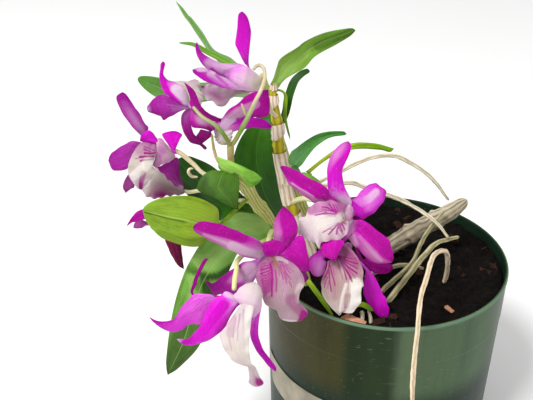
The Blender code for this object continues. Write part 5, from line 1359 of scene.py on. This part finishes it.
# The lowest bloom seen from the side: long tepals swept left, and a hanging lip.
OUTLINES["bloom_low_left"] = [
    sail([(229, 303.6), (222.3, 308.4), (212.7, 311.2), (206, 317), (201.2, 323.7), (193.6, 323.9),
        (187.8, 325.3), (182.1, 329.4), (168.7, 331.8), (154.4, 323.2), (148.9, 316.5)],
        [(229, 295), (216.6, 297.7), (213.7, 295.5), (207.9, 293.5), (193.6, 295), (182.1, 306.5),
        (175.4, 317), (170.6, 320.3), (163.9, 321.3), (156.3, 320.3)], (-91, -89, -88, -87, -85,
        -84), look="lilac", crown=(2, 3, 2, 1, 0), tones=((0.5, 0.3, 0.5, 0.15, 0.35),
        (0.3, 0.62, 0.5, 0.3, 0.35))),
    sail([(248.1, 299.8), (235.7, 308.4), (226.1, 325.1), (219.4, 333.3), (212.7, 338),
        (200.3, 343.8), (186.9, 345.3), (181.1, 343.3), (176.7, 339)], [(236.7, 295.9),
        (226.1, 291.3), (222.3, 294), (216.6, 297.8), (210.8, 303.6), (207, 309.3), (199.3, 326.6),
        (193.6, 333.3), (187.8, 338.5)], (-95, -98, -101, -104, -103, -102), look="vivid",
        crown=(3, 4, 3, 1, 0), tones=((0.85, 0.12, 0.3, 0.12, -0.5), (0.7, 0.4, 0.4, 0.25, 0.4),
        (0.3, 0.75, 0.5, 0.14, 0.5), (0.5, 0.98, 0.9, 0.04, -0.5))),
    sail([(195, 295.9), (193.3, 281.6), (200.3, 264.8), (204.3, 258.8), (207.5, 258.1)],
        [(196.7, 295), (197, 283.5), (198.6, 277.3), (204.3, 265.3), (207.9, 259.4)],
        (-80, -79, -78, -77), crown=(0.5, 0.5, 0), tones=((0.5, 0.5, 0.9, 0.9, 0.25),)),
    sail([(250, 299.8), (251.5, 311.2), (250.2, 334.2), (255.8, 349.5), (267.3, 364.8),
        (273, 370.1), (276.4, 371.7)], [(262, 297.8), (258.2, 328.5), (261.7, 346.2), (271.1, 360),
        (275.9, 366.7)], (-93, -94, -94, -94, -94), look="vivid", crown=(2, 2, 1, 0),
        tones=((0.5, 0.05, 0.9, 0.12, -0.7), (0.5, 0.85, 0.9, 0.3, 0.75))),
    sail([(244.3, 301.7), (238.6, 307.4), (226.1, 325.6), (219.6, 334.2), (221.1, 341.9),
        (224.7, 350), (229.5, 357.2), (234.7, 362.2), (241.4, 364.8), (247.4, 365.5),
        (249.3, 376.3), (248.6, 382.1), (251.5, 385.4), (256.3, 386.8)], [(254.8, 300.7),
        (251, 322.7), (249.1, 345.7), (249.7, 355.3), (251.5, 363.4), (254.4, 366), (257.2, 370.4),
        (259.6, 376.8), (263.6, 382.3), (261.3, 385.7)], (-99, -104, -106, -104, -99, -95),
        crown=(1, 3, 4, 3, 1, 0.5, 0), tones=((0.75, 0.9, 0.3, 0.06, 0.7),
        (0.9, 0.4, 0.25, 0.4, -0.25)), look="lip"),
]
# The right bloom, wide open.
OUTLINES["bloom_right"] = [
    sail([(335.5, 201.3), (330.5, 196.3), (327.9, 189.7), (327, 171.5), (328.5, 161.9),
        (331.8, 154), (337.2, 147), (342.6, 143), (347.9, 141.1)], [(351.7, 201.3), (345, 187.2),
        (342.5, 170.6), (348.8, 155.7), (350.8, 149.1), (350.6, 143.7)], (-47, -48, -49, -50, -48),
        look="sunlit", crown=(2, 3, 2, 1, 0), tones=((0.3, 0.8, 0.3, 0.2, -0.2),
        (0.6, 0.12, 0.6, 0.15, -0.6), (0.6, 0.55, 0.3, 0.2, 0.2))),
    sail([(335.5, 204.6), (328, 203.8), (319.8, 201.7), (313.9, 203), (309, 199.7), (294.9, 189.5),
        (288.2, 183.1), (280.1, 167.3)], [(336.3, 199.7), (329.7, 194.7), (327.2, 188),
        (321.4, 183.9), (305.7, 176), (295.7, 169.8), (287.4, 166.7), (282, 165.8)],
        (-48, -50, -50, -48, -46), crown=(2, 3, 2, 1, 0), tones=((0.7, 0.6, 0.3, 0.5, 0.45),
        (0.25, 0.35, 0.12, 0.3, -0.35), (0.05, 0.6, 0.12, 0.4, -0.15))),
    sail([(351.7, 212.9), (362, 219.4), (375.3, 211.4), (384, 200.1), (386.4, 191.8), (383.6, 189),
        (380.3, 189.2)], [(349.6, 202.1), (352.9, 199.8), (364.9, 187.4), (374.5, 182.8),
        (377.8, 184.7), (379.3, 189)], (-46, -44, -42, -40, -39), look="lilac", crown=(1, 2, 2, 0),
        tones=((0.5, 0.3, 0.7, 0.16, 0.75), (0.1, 0.5, 0.12, 0.4, 0.4), (0.5, 1, 0.8, 0.06, 0.6))),
    sail([(342.8, 241.8), (346.7, 238), (349.7, 240.2), (353.6, 245.6), (358.1, 248.7),
        (362.7, 254), (373.5, 262.6), (388, 263.7), (392.6, 261.5)], [(352.8, 219.6),
        (361.2, 219.4), (368.1, 223.4), (383.4, 235.3), (389.7, 240.2), (391.2, 247.1),
        (393, 251.7), (393.6, 257.8)], (-47, -50, -51, -51), crown=(2, 4, 3, 1, 0),
        tones=((0.8, 0.5, 0.25, 0.5, 0.3), (0.75, 0.05, 0.25, 0.18, -0.4),
        (0.25, 0.7, 0.2, 0.25, -0.2))),
    sail([(358.1, 257.8), (365.8, 264.7), (370.4, 270.1), (376.5, 273.5), (384.2, 274.1),
        (389.5, 272), (393.2, 267.8)], [(361.2, 256.3), (366.6, 257.8), (372.7, 261.7), (388, 264),
        (391.8, 264.7)], (-44, -43, -42), crown=(1, 1, 0), tones=((0.5, 0.95, 0.9, 0.15, 0.8),
        (0.5, 0.4, 0.9, 0.3, 0.3))),
    sail([(351.7, 219.1), (345.5, 235.3), (338.8, 240.1), (329.7, 241.1), (323.1, 241.9),
        (318.9, 248.2), (316, 243.8), (309.8, 241.1), (303.2, 237), (298.6, 232)], [(349.6, 207.1),
        (343, 203.4), (328.9, 200.3), (314.8, 203.1), (309.8, 206.7), (305.2, 215.4),
        (299, 219.1)], (-50, -54, -58, -60, -59, -56), crown=(-2, 1, 3, 3, 1, 0),
        tones=((0.6, 0.93, 0.2, 0.08, 0.3), (0.55, 0.35, 0.12, 0.3, -0.3)), look="lip"),
    sail([(345.5, 213), (346.6, 218.5), (349, 221.5), (351.7, 219.1)], [(345.5, 208.5),
        (347.6, 205.6), (350.4, 205), (353, 208.8), (353.3, 213.7)], (-55, -55, -54), look="blush",
        crown=(1, 2, 0)),
]
# The bloom below it, with a cupped and heavily veined lip.
OUTLINES["bloom_low_right"] = [
    sail([(323.7, 241.8), (320, 241.9), (321.4, 248.7), (324.5, 255.9), (333.7, 261.4)],
        [(335.2, 240.9), (344.4, 241.2), (339.4, 251.3), (336.7, 257.8)], (-54, -60, -66, -70),
        tones=((0.5, 0.1, 0.9, 0.18, 0.8),)),
    sail([(321.8, 247.9), (317.6, 251.7), (309.9, 256.9), (308.9, 264), (310.6, 271.6),
        (314.5, 276), (318.4, 276.7)], [(325.2, 257.8), (326.4, 262.4), (325.6, 268.6),
        (323, 274.5)], (-52, -54, -54), look="vivid", tones=((0.5, 0.2, 0.9, 0.2, 0.2),
        (0.6, 0.75, 0.4, 0.25, -0.25))),
    sail([(363.9, 267.8), (365, 275.4), (363.2, 290.7), (365, 297.6), (371.2, 309.1),
        (382.2, 318.3), (387.6, 319.2)], [(366.6, 267), (376.5, 280), (382.6, 293.8),
        (385.8, 297.6), (387.4, 304.5), (389.2, 309.1)], (-50, -51, -54, -57, -58), look="vivid",
        crown=(1, 2, 2, 0), tones=((0.5, 0.75, 0.9, 0.3, 0.25), (0.3, 0.35, 0.2, 0.25, 0.3))),
    sail([(336.7, 251), (332.9, 260.1), (327.9, 260.9), (326.8, 267), (321.1, 281.2),
        (321.7, 288.5), (322.3, 295.3), (330.6, 307.2), (339.5, 315.8)], [(345.1, 244.1),
        (355.1, 253.6), (361.2, 264.7), (363.4, 271.6), (363, 278.5), (363.7, 285.4),
        (361.4, 288.5), (360.8, 302.2), (353.6, 311.6), (349, 313.1), (344.4, 310.6)], (-54, -60,
        -66, -67, -66, -65), crown=(0, 2, 4, 4, 2, 0), tones=((0.6, 0.88, 0.06, 0.1, 0.5),
        (0.85, 0.8, 0.25, 0.2, -0.6), (0.45, 0.3, 0.1, 0.3, -0.2)), look="lip"),
]

print("sails:", sum(len(sails) for sails in OUTLINES.values()))

# %% [markdown]
# ## Small parts and strokes
#
# A few small things remain: the spray's own stalk with a dry side stalk and a bract, a hooked dry
# tip on one stalk, the rounded chins, and every painted stroke.

# %% The spray's stalk, a hooked tip, the chins and the strokes
SPRAY_STALK = [((-94, -43, 206), (-94, -43, 214), (-94, -43, 222)), (1.9, 1.8, 2.0)]
DRY_STALK = [((-104, -37, 225), (-103, -38, 216), (-100, -41, 210), (-94, -43, 212)),
             (0.6, 0.8, 0.8)]
BRACT = [((-88, -38, 243), (-86, -39, 238), (-85, -39, 236)), (0.5, 0.9, 0.9)]
HOOK = ([seen(*spot) for spot in ((198, 177, -40), (192, 176.5, -41), (188.6, 172.5, -42),
                                 (189.6, 169, -42), (193.5, 168.6, -41))], (0.5, 0.9, 0.9, 0.4))

# The sepals of two blooms grow together behind the lip into a rounded chin, and a pale web joins
# the tepals of a third behind its column.
CHINS = {
    "bloom_top": sail([(264.5, 80), (262, 77), (257, 74), (252, 69.5), (247, 66.5), (241, 66),
        (233, 68.4), (224, 73)], [(265, 84), (263.5, 88), (259, 91), (252, 91.3), (246, 90.8),
        (240, 89), (233, 84.4), (224, 75)], (-28, -31, -34, -36, -39), look="chin", crown=(3, 9,
        10, 8, 3, 1), joined=False),
    "bloom_low_left": sail([(253, 282.2), (249, 282.6), (244, 284.8), (239.5, 288), (236, 292.5),
        (233, 296), (235, 300), (242, 302)], [(255.5, 282.4), (259, 285.5), (261.5, 290),
        (262.5, 296), (261.8, 303), (260.5, 310), (257, 315), (252, 318)], (-93, -95, -97, -98),
        look="cream", crown=(4, 9, 9, 5, 1), joined=False),
    "bloom_right": sail([(346, 197), (344, 206), (345, 216), (343, 226), (344, 240)], [(353, 198),
        (361, 203), (363, 213), (362, 222), (354, 238)], (-41, -41, -41), crown=(1, 1, 0),
        joined=False),
}

# Strokes on one sail of a bloom, by its place in the list: amount, half width and points.
MARKS = {
    ("bloom_middle", 6): [(0.5, 0.7, [(270.5, 265), (272, 270), (272.6, 278), (272, 286),
        (272, 296)]), (0.35, 0.6, [(275.6, 271), (276.6, 280), (276.2, 291)]), *[(0.46 - 0.012 * i,
        0.55, [(271.8, 267.4 + 2.25 * i), (267, 269 + 2.4 * i + 0.08 * i * (9 - i)), (260.6 + 0.045
        * i * i, 270.6 + 2.6 * i + 0.1 * i * (9 - i))]) for i in range(11)], *[(0.34, 0.4, [(266.6,
        269.2 + 2.4 * i + 0.08 * i * (9 - i)), (261 + 0.045 * i * i, 269 + 2.6 * i + 0.08 * i * (9
        - i))]) for i in range(0, 10)], (0.4, 0.5, [(273, 262), (269.5, 264.6)]), (0.35, 0.5,
        [(269, 266), (265, 266.4), (261, 268)]), (0.3, 0.5, [(266, 263.6), (261, 265)]), (0.45,
        0.6, [(279.6, 262), (283, 262.6)]), (0.3, 0.5, [(280.6, 265), (281.6, 272), (283.4, 279)]),
        (0.35, 0.5, [(282.6, 264), (284.4, 269), (286.8, 275)]), (0.3, 0.45, [(284, 272),
        (286, 278), (286.6, 283)]), (0.3, 0.45, [(285.6, 266), (288.6, 271), (291, 273.6)]), (0.3,
        0.45, [(287.4, 274.4), (290.6, 279)]), (0.25, 0.4, [(284, 262.6), (288, 266)]), (0.25, 0.4,
        [(289, 268), (294, 272)]), (0.25, 0.4, [(289, 281), (292, 287)]), (0.25, 0.4, [(279, 267),
        (279.6, 276)]), (0.16, 3, [(262, 270), (263, 282), (266, 290)]), (0.14, 3, [(283, 268),
        (286, 276)]), (-0.15, 2, [(279, 258.6), (286, 262.4)]), (-0.15, 2, [(300, 286), (297, 293),
        (298, 301)]), (0.16, 8, [(264, 268), (266, 290)]), (0.2, 4, [(292, 300), (298, 308),
        (303, 314)]), (-0.3, 1.2, [(284, 320.6), (296, 321)])],
    ("bloom_right", 5): [(0.45, 0.55, [(335.5, 214), (330, 213.4), (325, 213), (315, 215)]), (0.45,
        0.6, [(336, 213), (331, 210), (327, 207.4), (322, 206.6)]), (0.45, 0.6, [(336, 213),
        (332.6, 209.4), (330, 206), (328.6, 203.6)]), (0.45, 0.55, [(336.6, 212.6), (334.4, 208.4),
        (333, 204.4)]), (0.4, 0.5, [(337.4, 212), (336.6, 208), (335, 204)]), (0.35, 0.5,
        [(338.4, 211.4), (338, 207), (337.4, 204)]), (0.3, 0.45, [(339.6, 211), (342, 206.6)]),
        (0.4, 0.5, [(332, 211.4), (327, 210), (321.6, 208.6)]), (0.35, 0.5, [(326, 211.8),
        (322, 210.6), (319, 211)]), (0.35, 0.5, [(335, 215.6), (328, 216.4), (319.6, 218.8)]),
        (0.3, 0.5, [(333, 215), (327, 214.8), (320, 213.6)]), (0.3, 0.5, [(341, 214.6),
        (342.8, 218)]), (0.4, 0.6, [(338.6, 223), (337.6, 227), (336.6, 230), (336, 234)]), (0.42,
        0.6, [(337.6, 223), (334, 227.6), (331, 231), (328.4, 234)]), (0.35, 0.5, [(336.6, 222.8),
        (331, 226.6), (327, 229.4), (322.6, 232)]), (0.3, 0.5, [(335, 222), (330.6, 224.6),
        (326.6, 225.4)]), (0.4, 0.55, [(339.6, 223), (340, 227), (342, 231)]), (0.4, 0.55,
        [(340.6, 222.8), (343, 226.6), (344.4, 229.6)]), (0.35, 0.5, [(342, 222), (345.6, 224)]),
        (0.3, 0.45, [(338, 226.6), (340, 230.6), (343, 234)]), (0.25, 0.4, [(332.6, 229),
        (329, 228.6)]), (0.25, 0.4, [(336.6, 230), (338.6, 235)]), (0.3, 5.5, [(346, 205.6),
        (328, 204.6), (312, 208.6)]), (-0.2, 5, [(302, 224), (318, 223), (330, 221.6)])],
    ("bloom_low_right", 3): [(0.3, 0.5, [(336.6, 256), (338, 262), (340, 270), (342.6, 279)]),
        (0.42, 0.6, [(337.6, 255), (341, 262), (344, 270), (346.6, 279.6)]), (0.5, 0.7,
        [(338.4, 256), (342, 263), (346, 270), (350, 276.4), (352, 281.4)]), (0.5, 0.65,
        [(340, 257), (344, 263), (348, 267.4), (352, 270), (357, 273.4)]), (0.45, 0.6, [(341, 256),
        (346, 260.4), (352, 262.6), (358, 264)]), (0.42, 0.6, [(341, 258), (346, 262.4),
        (351, 265.2), (357.6, 269)]), (0.4, 0.5, [(343, 256.4), (348, 258.8), (353, 259),
        (356, 258.4)]), (0.3, 0.5, [(342, 253), (347, 255.4), (352, 256)]), (0.3, 0.45,
        [(348, 269.6), (353, 274.6), (355, 278)]), (0.3, 0.45, [(345, 267), (348.6, 273),
        (350, 279)]), (0.3, 0.45, [(353, 265.4), (358, 266.4)]), (0.4, 0.55, [(329.6, 262),
        (329, 268), (327.2, 272), (326, 277.4)]), (0.4, 0.55, [(330.4, 266), (331.6, 272),
        (333.6, 279), (335, 285)]), (0.4, 0.5, [(329, 270), (329.6, 276), (330, 283),
        (331.4, 291)]), (0.35, 0.5, [(328, 273), (325.4, 276), (323.6, 280)]), (0.35, 0.5,
        [(328, 277.6), (325.6, 281.4), (324.4, 287)]), (0.25, 0.4, [(332.6, 266), (334.6, 275)]),
        (0.25, 0.4, [(329, 281), (327.4, 288)]), (0.28, 3, [(343, 251), (350, 256), (355, 262)]),
        (0.12, 3, [(326, 272), (325, 282)]), (-0.4, 4, [(356, 284), (356.6, 294), (355, 303)]),
        (-0.3, 1, [(346, 284), (342, 296), (339.6, 312)]), (0.25, 2, [(348, 296), (346, 306)]),
        (0.1, 5, [(334, 262), (338, 280), (336, 294)]), (0.14, 7, [(346, 258), (354, 270)])],
    ("bloom_left", 6): [(0.35, 0.6, [(144, 147), (149, 148.6), (154.6, 151)]), (0.4, 0.6,
        [(144, 149.6), (150, 151.6)]), (0.48, 0.7, [(144.6, 153.2), (150, 153.6), (155, 153)]),
        (0.48, 0.7, [(140, 157), (146, 156.6), (153, 156)]), (0.42, 0.6, [(140.6, 161),
        (146, 159.8), (152, 159.4)]), (0.25, 0.5, [(136, 158.8), (141, 157.6)]), (0.17, 5,
        [(141, 147), (149, 145), (154, 150)]), (0.12, 4, [(146, 155), (152, 156)]), (0.3, 1.8,
        [(143.4, 173), (141.6, 180), (141, 187)]), (-0.35, 3.4, [(149, 162), (143, 168),
        (134, 176)])],
    ("bloom_left", 5): [(0.4, 1.6, [(160, 148), (163, 151), (160, 156)]), (-0.3, 1.5, [(157, 141),
        (155, 152), (151, 162)])],
    # The wide pale strokes on the top bloom's two swept tepals are painted light.
    ("bloom_top", 1): [(0.45, 1.2, [(226, 77.6), (232, 75), (239, 71.6)]), (0.4, 1.2, [(212, 69),
        (217, 74), (222, 77)]), (-0.3, 4.5, [(211, 65), (222, 68), (234, 70), (246, 72)])],
    ("bloom_top", 2): [(0.3, 1, [(216, 75), (220, 79), (227, 85)]), (0.5, 1.6, [(194, 72),
        (202, 77), (210, 82)]), (-0.4, 1.6, [(196, 69.4), (206, 70)]), (-0.4, 4, [(212, 76),
        (224, 82), (240, 86)])],
    ("bloom_behind", 0): [(-0.4, 4, [(224, 126), (240, 112), (256, 104)])],
    ("bloom_behind", 1): [(-0.35, 2.4, [(228, 130), (248, 123)])],
    ("bloom_behind", 2): [(-0.4, 5, [(222, 132), (230, 120)])],
    ("bloom_low_left", 1): [(0.5, 1.8, [(246, 299.4), (241, 302), (236, 308), (232, 315)]), (-0.4,
        2.5, [(226, 293), (233, 296), (240, 299)]), (0.35, 3.5, [(224, 305), (214, 318),
        (204, 332)])],
    ("bloom_low_left", 4): [(0.16, 0.5, [(236, 318), (234, 328), (233, 337)]), (0.16, 0.5,
        [(240, 314), (238, 328), (237.4, 340)]), (0.14, 0.5, [(243.6, 310), (243, 325),
        (242.6, 338)]), (0.12, 0.5, [(229, 330), (229.6, 340), (232, 350)]), (0.12, 3, [(232, 318),
        (230, 334)]), (-0.3, 2, [(248.6, 305), (247.6, 330), (248, 352)])],
    ("bloom_middle", 0): [(0.5, 3.5, [(205, 225), (222, 230), (243, 238)]), (-0.3, 3, [(232, 246),
        (246, 251), (258, 254)]), (-0.14, 1, [(204, 234), (224, 242), (240, 250)])],
    ("bloom_middle", 4): [(-0.5, 4, [(250, 268), (240, 275), (228, 284)]), (0.4, 4, [(212, 286),
        (228, 290), (244, 288)])],
    ("bloom_back", 0): [(-0.4, 3.5, [(176, 90), (182, 98), (188, 103)]), (0.5, 1.6, [(162, 66),
        (162, 80), (168, 92), (180, 102)])],
    ("bloom_right", 1): [(-0.3, 0.6, [(292, 183), (303, 190), (314, 196)]), (0.4, 2, [(290, 172),
        (305, 180), (322, 188)])],
    ("bloom_right", 2): [(0.5, 1.6, [(353, 204), (360, 210), (363, 217)]), (-0.35, 3, [(358, 203),
        (368, 199), (376, 192)])],
    ("bloom_right", 3): [(-0.25, 3, [(352, 222), (350, 232), (355, 244)]), (0.35, 3, [(368, 230),
        (378, 240), (386, 252)]), (-0.15, 1.5, [(360, 236), (372, 250), (381, 260)])],
}

print("painted sails:", len(MARKS))

# %% [markdown]
# ## Put the blooms together
#
# All the tepals of a bloom join its heart in one piece, as they grew. The lip is a piece of its
# own, and so is the stalk, except that two blooms share the spray.

# %% Make the blooms
LIP_LOOKS = {"bloom_small_left": "small"}
LIP_LOOKS.update(("bloom_" + look, look)
                 for look in ("middle", "right", "low_right", "low_left", "left", "top"))
TEPAL_LOOKS = list(TEPALS)
spray = [stem(*SPRAY_STALK, 40, 16, [(0.2, 0.04, 0.3)]), stem(*DRY_STALK, 40, 12, lumps=0.3),
         stem(*BRACT, 20, 12)]
for number, (name, bloom) in enumerate(BLOOMS.items()):
    heart = "chin" if name == "bloom_top" else "cream" if name == "bloom_low_left" else "blush"
    centre = bloom["heart"][-1]
    skins = [stem(bloom["heart"], [0.7 * size for size in bloom["heart_radii"]], 24, 24, blunt=0.4,
                  paint=TEPAL_LOOKS.index(heart))]
    if name in CHINS:
        skins.append(spread(CHINS[name], 60, 40, seed=number,
                            paint=TEPAL_LOOKS.index(CHINS[name]["look"])))
    for order, kind in enumerate(OUTLINES[name]):
        marks = MARKS.get((name, order), ())
        if kind["look"] == "lip":
            # Fine strokes need a fine, even grid.
            lip = spread(dict(kind, ruffle=0.8, ripples=7), 138 if marks else 80,
                         92 if marks else 48, LIP_THICKNESS, number * 1.3, marks=marks,
                         crowd=not marks, root=None if name == "bloom_behind" else centre)
            piece(name + "_veined_lip", [lip], [LIPS[LIP_LOOKS.get(name, "plain")]], "lip",
                  name + "_lip")
        else:
            # The pale waxy looks stand in front of the heart and don't grow from its middle.
            skins.append(spread(kind, 66, 28, seed=number + order * 2.3, marks=marks,
                                paint=TEPAL_LOOKS.index(kind["look"]),
                                root=None if kind["look"] in "blush cream chin" else centre))
    piece(name + "_petals", skins, list(TEPALS.values()), "tepal", name + "_tepals")
    path, radii = bloom["stalk"]
    stalk = stem(path, [0.9 * radius for radius in radii], 90, 16, lumps=0.15)
    if name in ("bloom_top", "bloom_back"):
        spray.append(stalk)
    else:
        extra = [stem(*HOOK, 30, 12)] if name == "bloom_left" else []
        piece(name + "_flower_stalk", [stalk, *extra], [STALK], "stalk", name + "_stalk")
piece("spray_of_top_blooms", spray, [SPRAY], "stalk", "spray_stalk")

# %% [markdown]
# ## Floor and light
#
# The light is that of a bright window: large and soft, from above and the left, with a pale room
# all round. The floor is plain and nearly white.

# %% Lay the floor
floor_mesh = bmesh.new()
bmesh.ops.create_grid(floor_mesh, x_segments=1, y_segments=1, size=6)
mesh = bpy.data.meshes.new("studio_floor")
floor_mesh.to_mesh(mesh)
floor_mesh.free()
floor = bpy.data.objects.new("studio_floor", mesh)
bpy.context.scene.collection.objects.link(floor)
floor_paint, tree, shader = finish_of("Matt_white_studio_floor")
grain = ramp(tree, speckle(tree, 3, 2), (0.0, "#F7F7F6"), (1.0, "#FBFBFB"))
dress(tree, shader, grain, Roughness=0.9)
mesh.materials.append(floor_paint)

# %% Light it
def lamp(name, place, aim, size, power):
    """A round area lamp, this many metres wide, turned to its aim."""
    light = bpy.data.lights.new(name, "AREA")
    light.shape = "DISK"
    light.size = size
    light.energy = power
    obj = bpy.data.objects.new(name, light)
    bpy.context.scene.collection.objects.link(obj)
    obj.location = place
    obj.rotation_euler = (Vector(aim) - Vector(place)).to_track_quat("-Z", "Y").to_euler()


lamp("window", (-1.0, -1.0, 2.0), (-0.05, 0, 0.15), 0.7, 50)
lamp("room", (1.4, -0.6, 1.1), (0, 0, 0.15), 1.6, 4)
world = bpy.data.worlds.new("pale_room")
bpy.context.scene.world = world
world.use_nodes = True
backdrop = world.node_tree.nodes["Background"]
backdrop.inputs["Color"].default_value = linear("#FFFFFF")
backdrop.inputs["Strength"].default_value = 0.62
bpy.context.scene.view_settings.view_transform = "Standard"
print("lamps:", [light.name for light in bpy.data.lights])
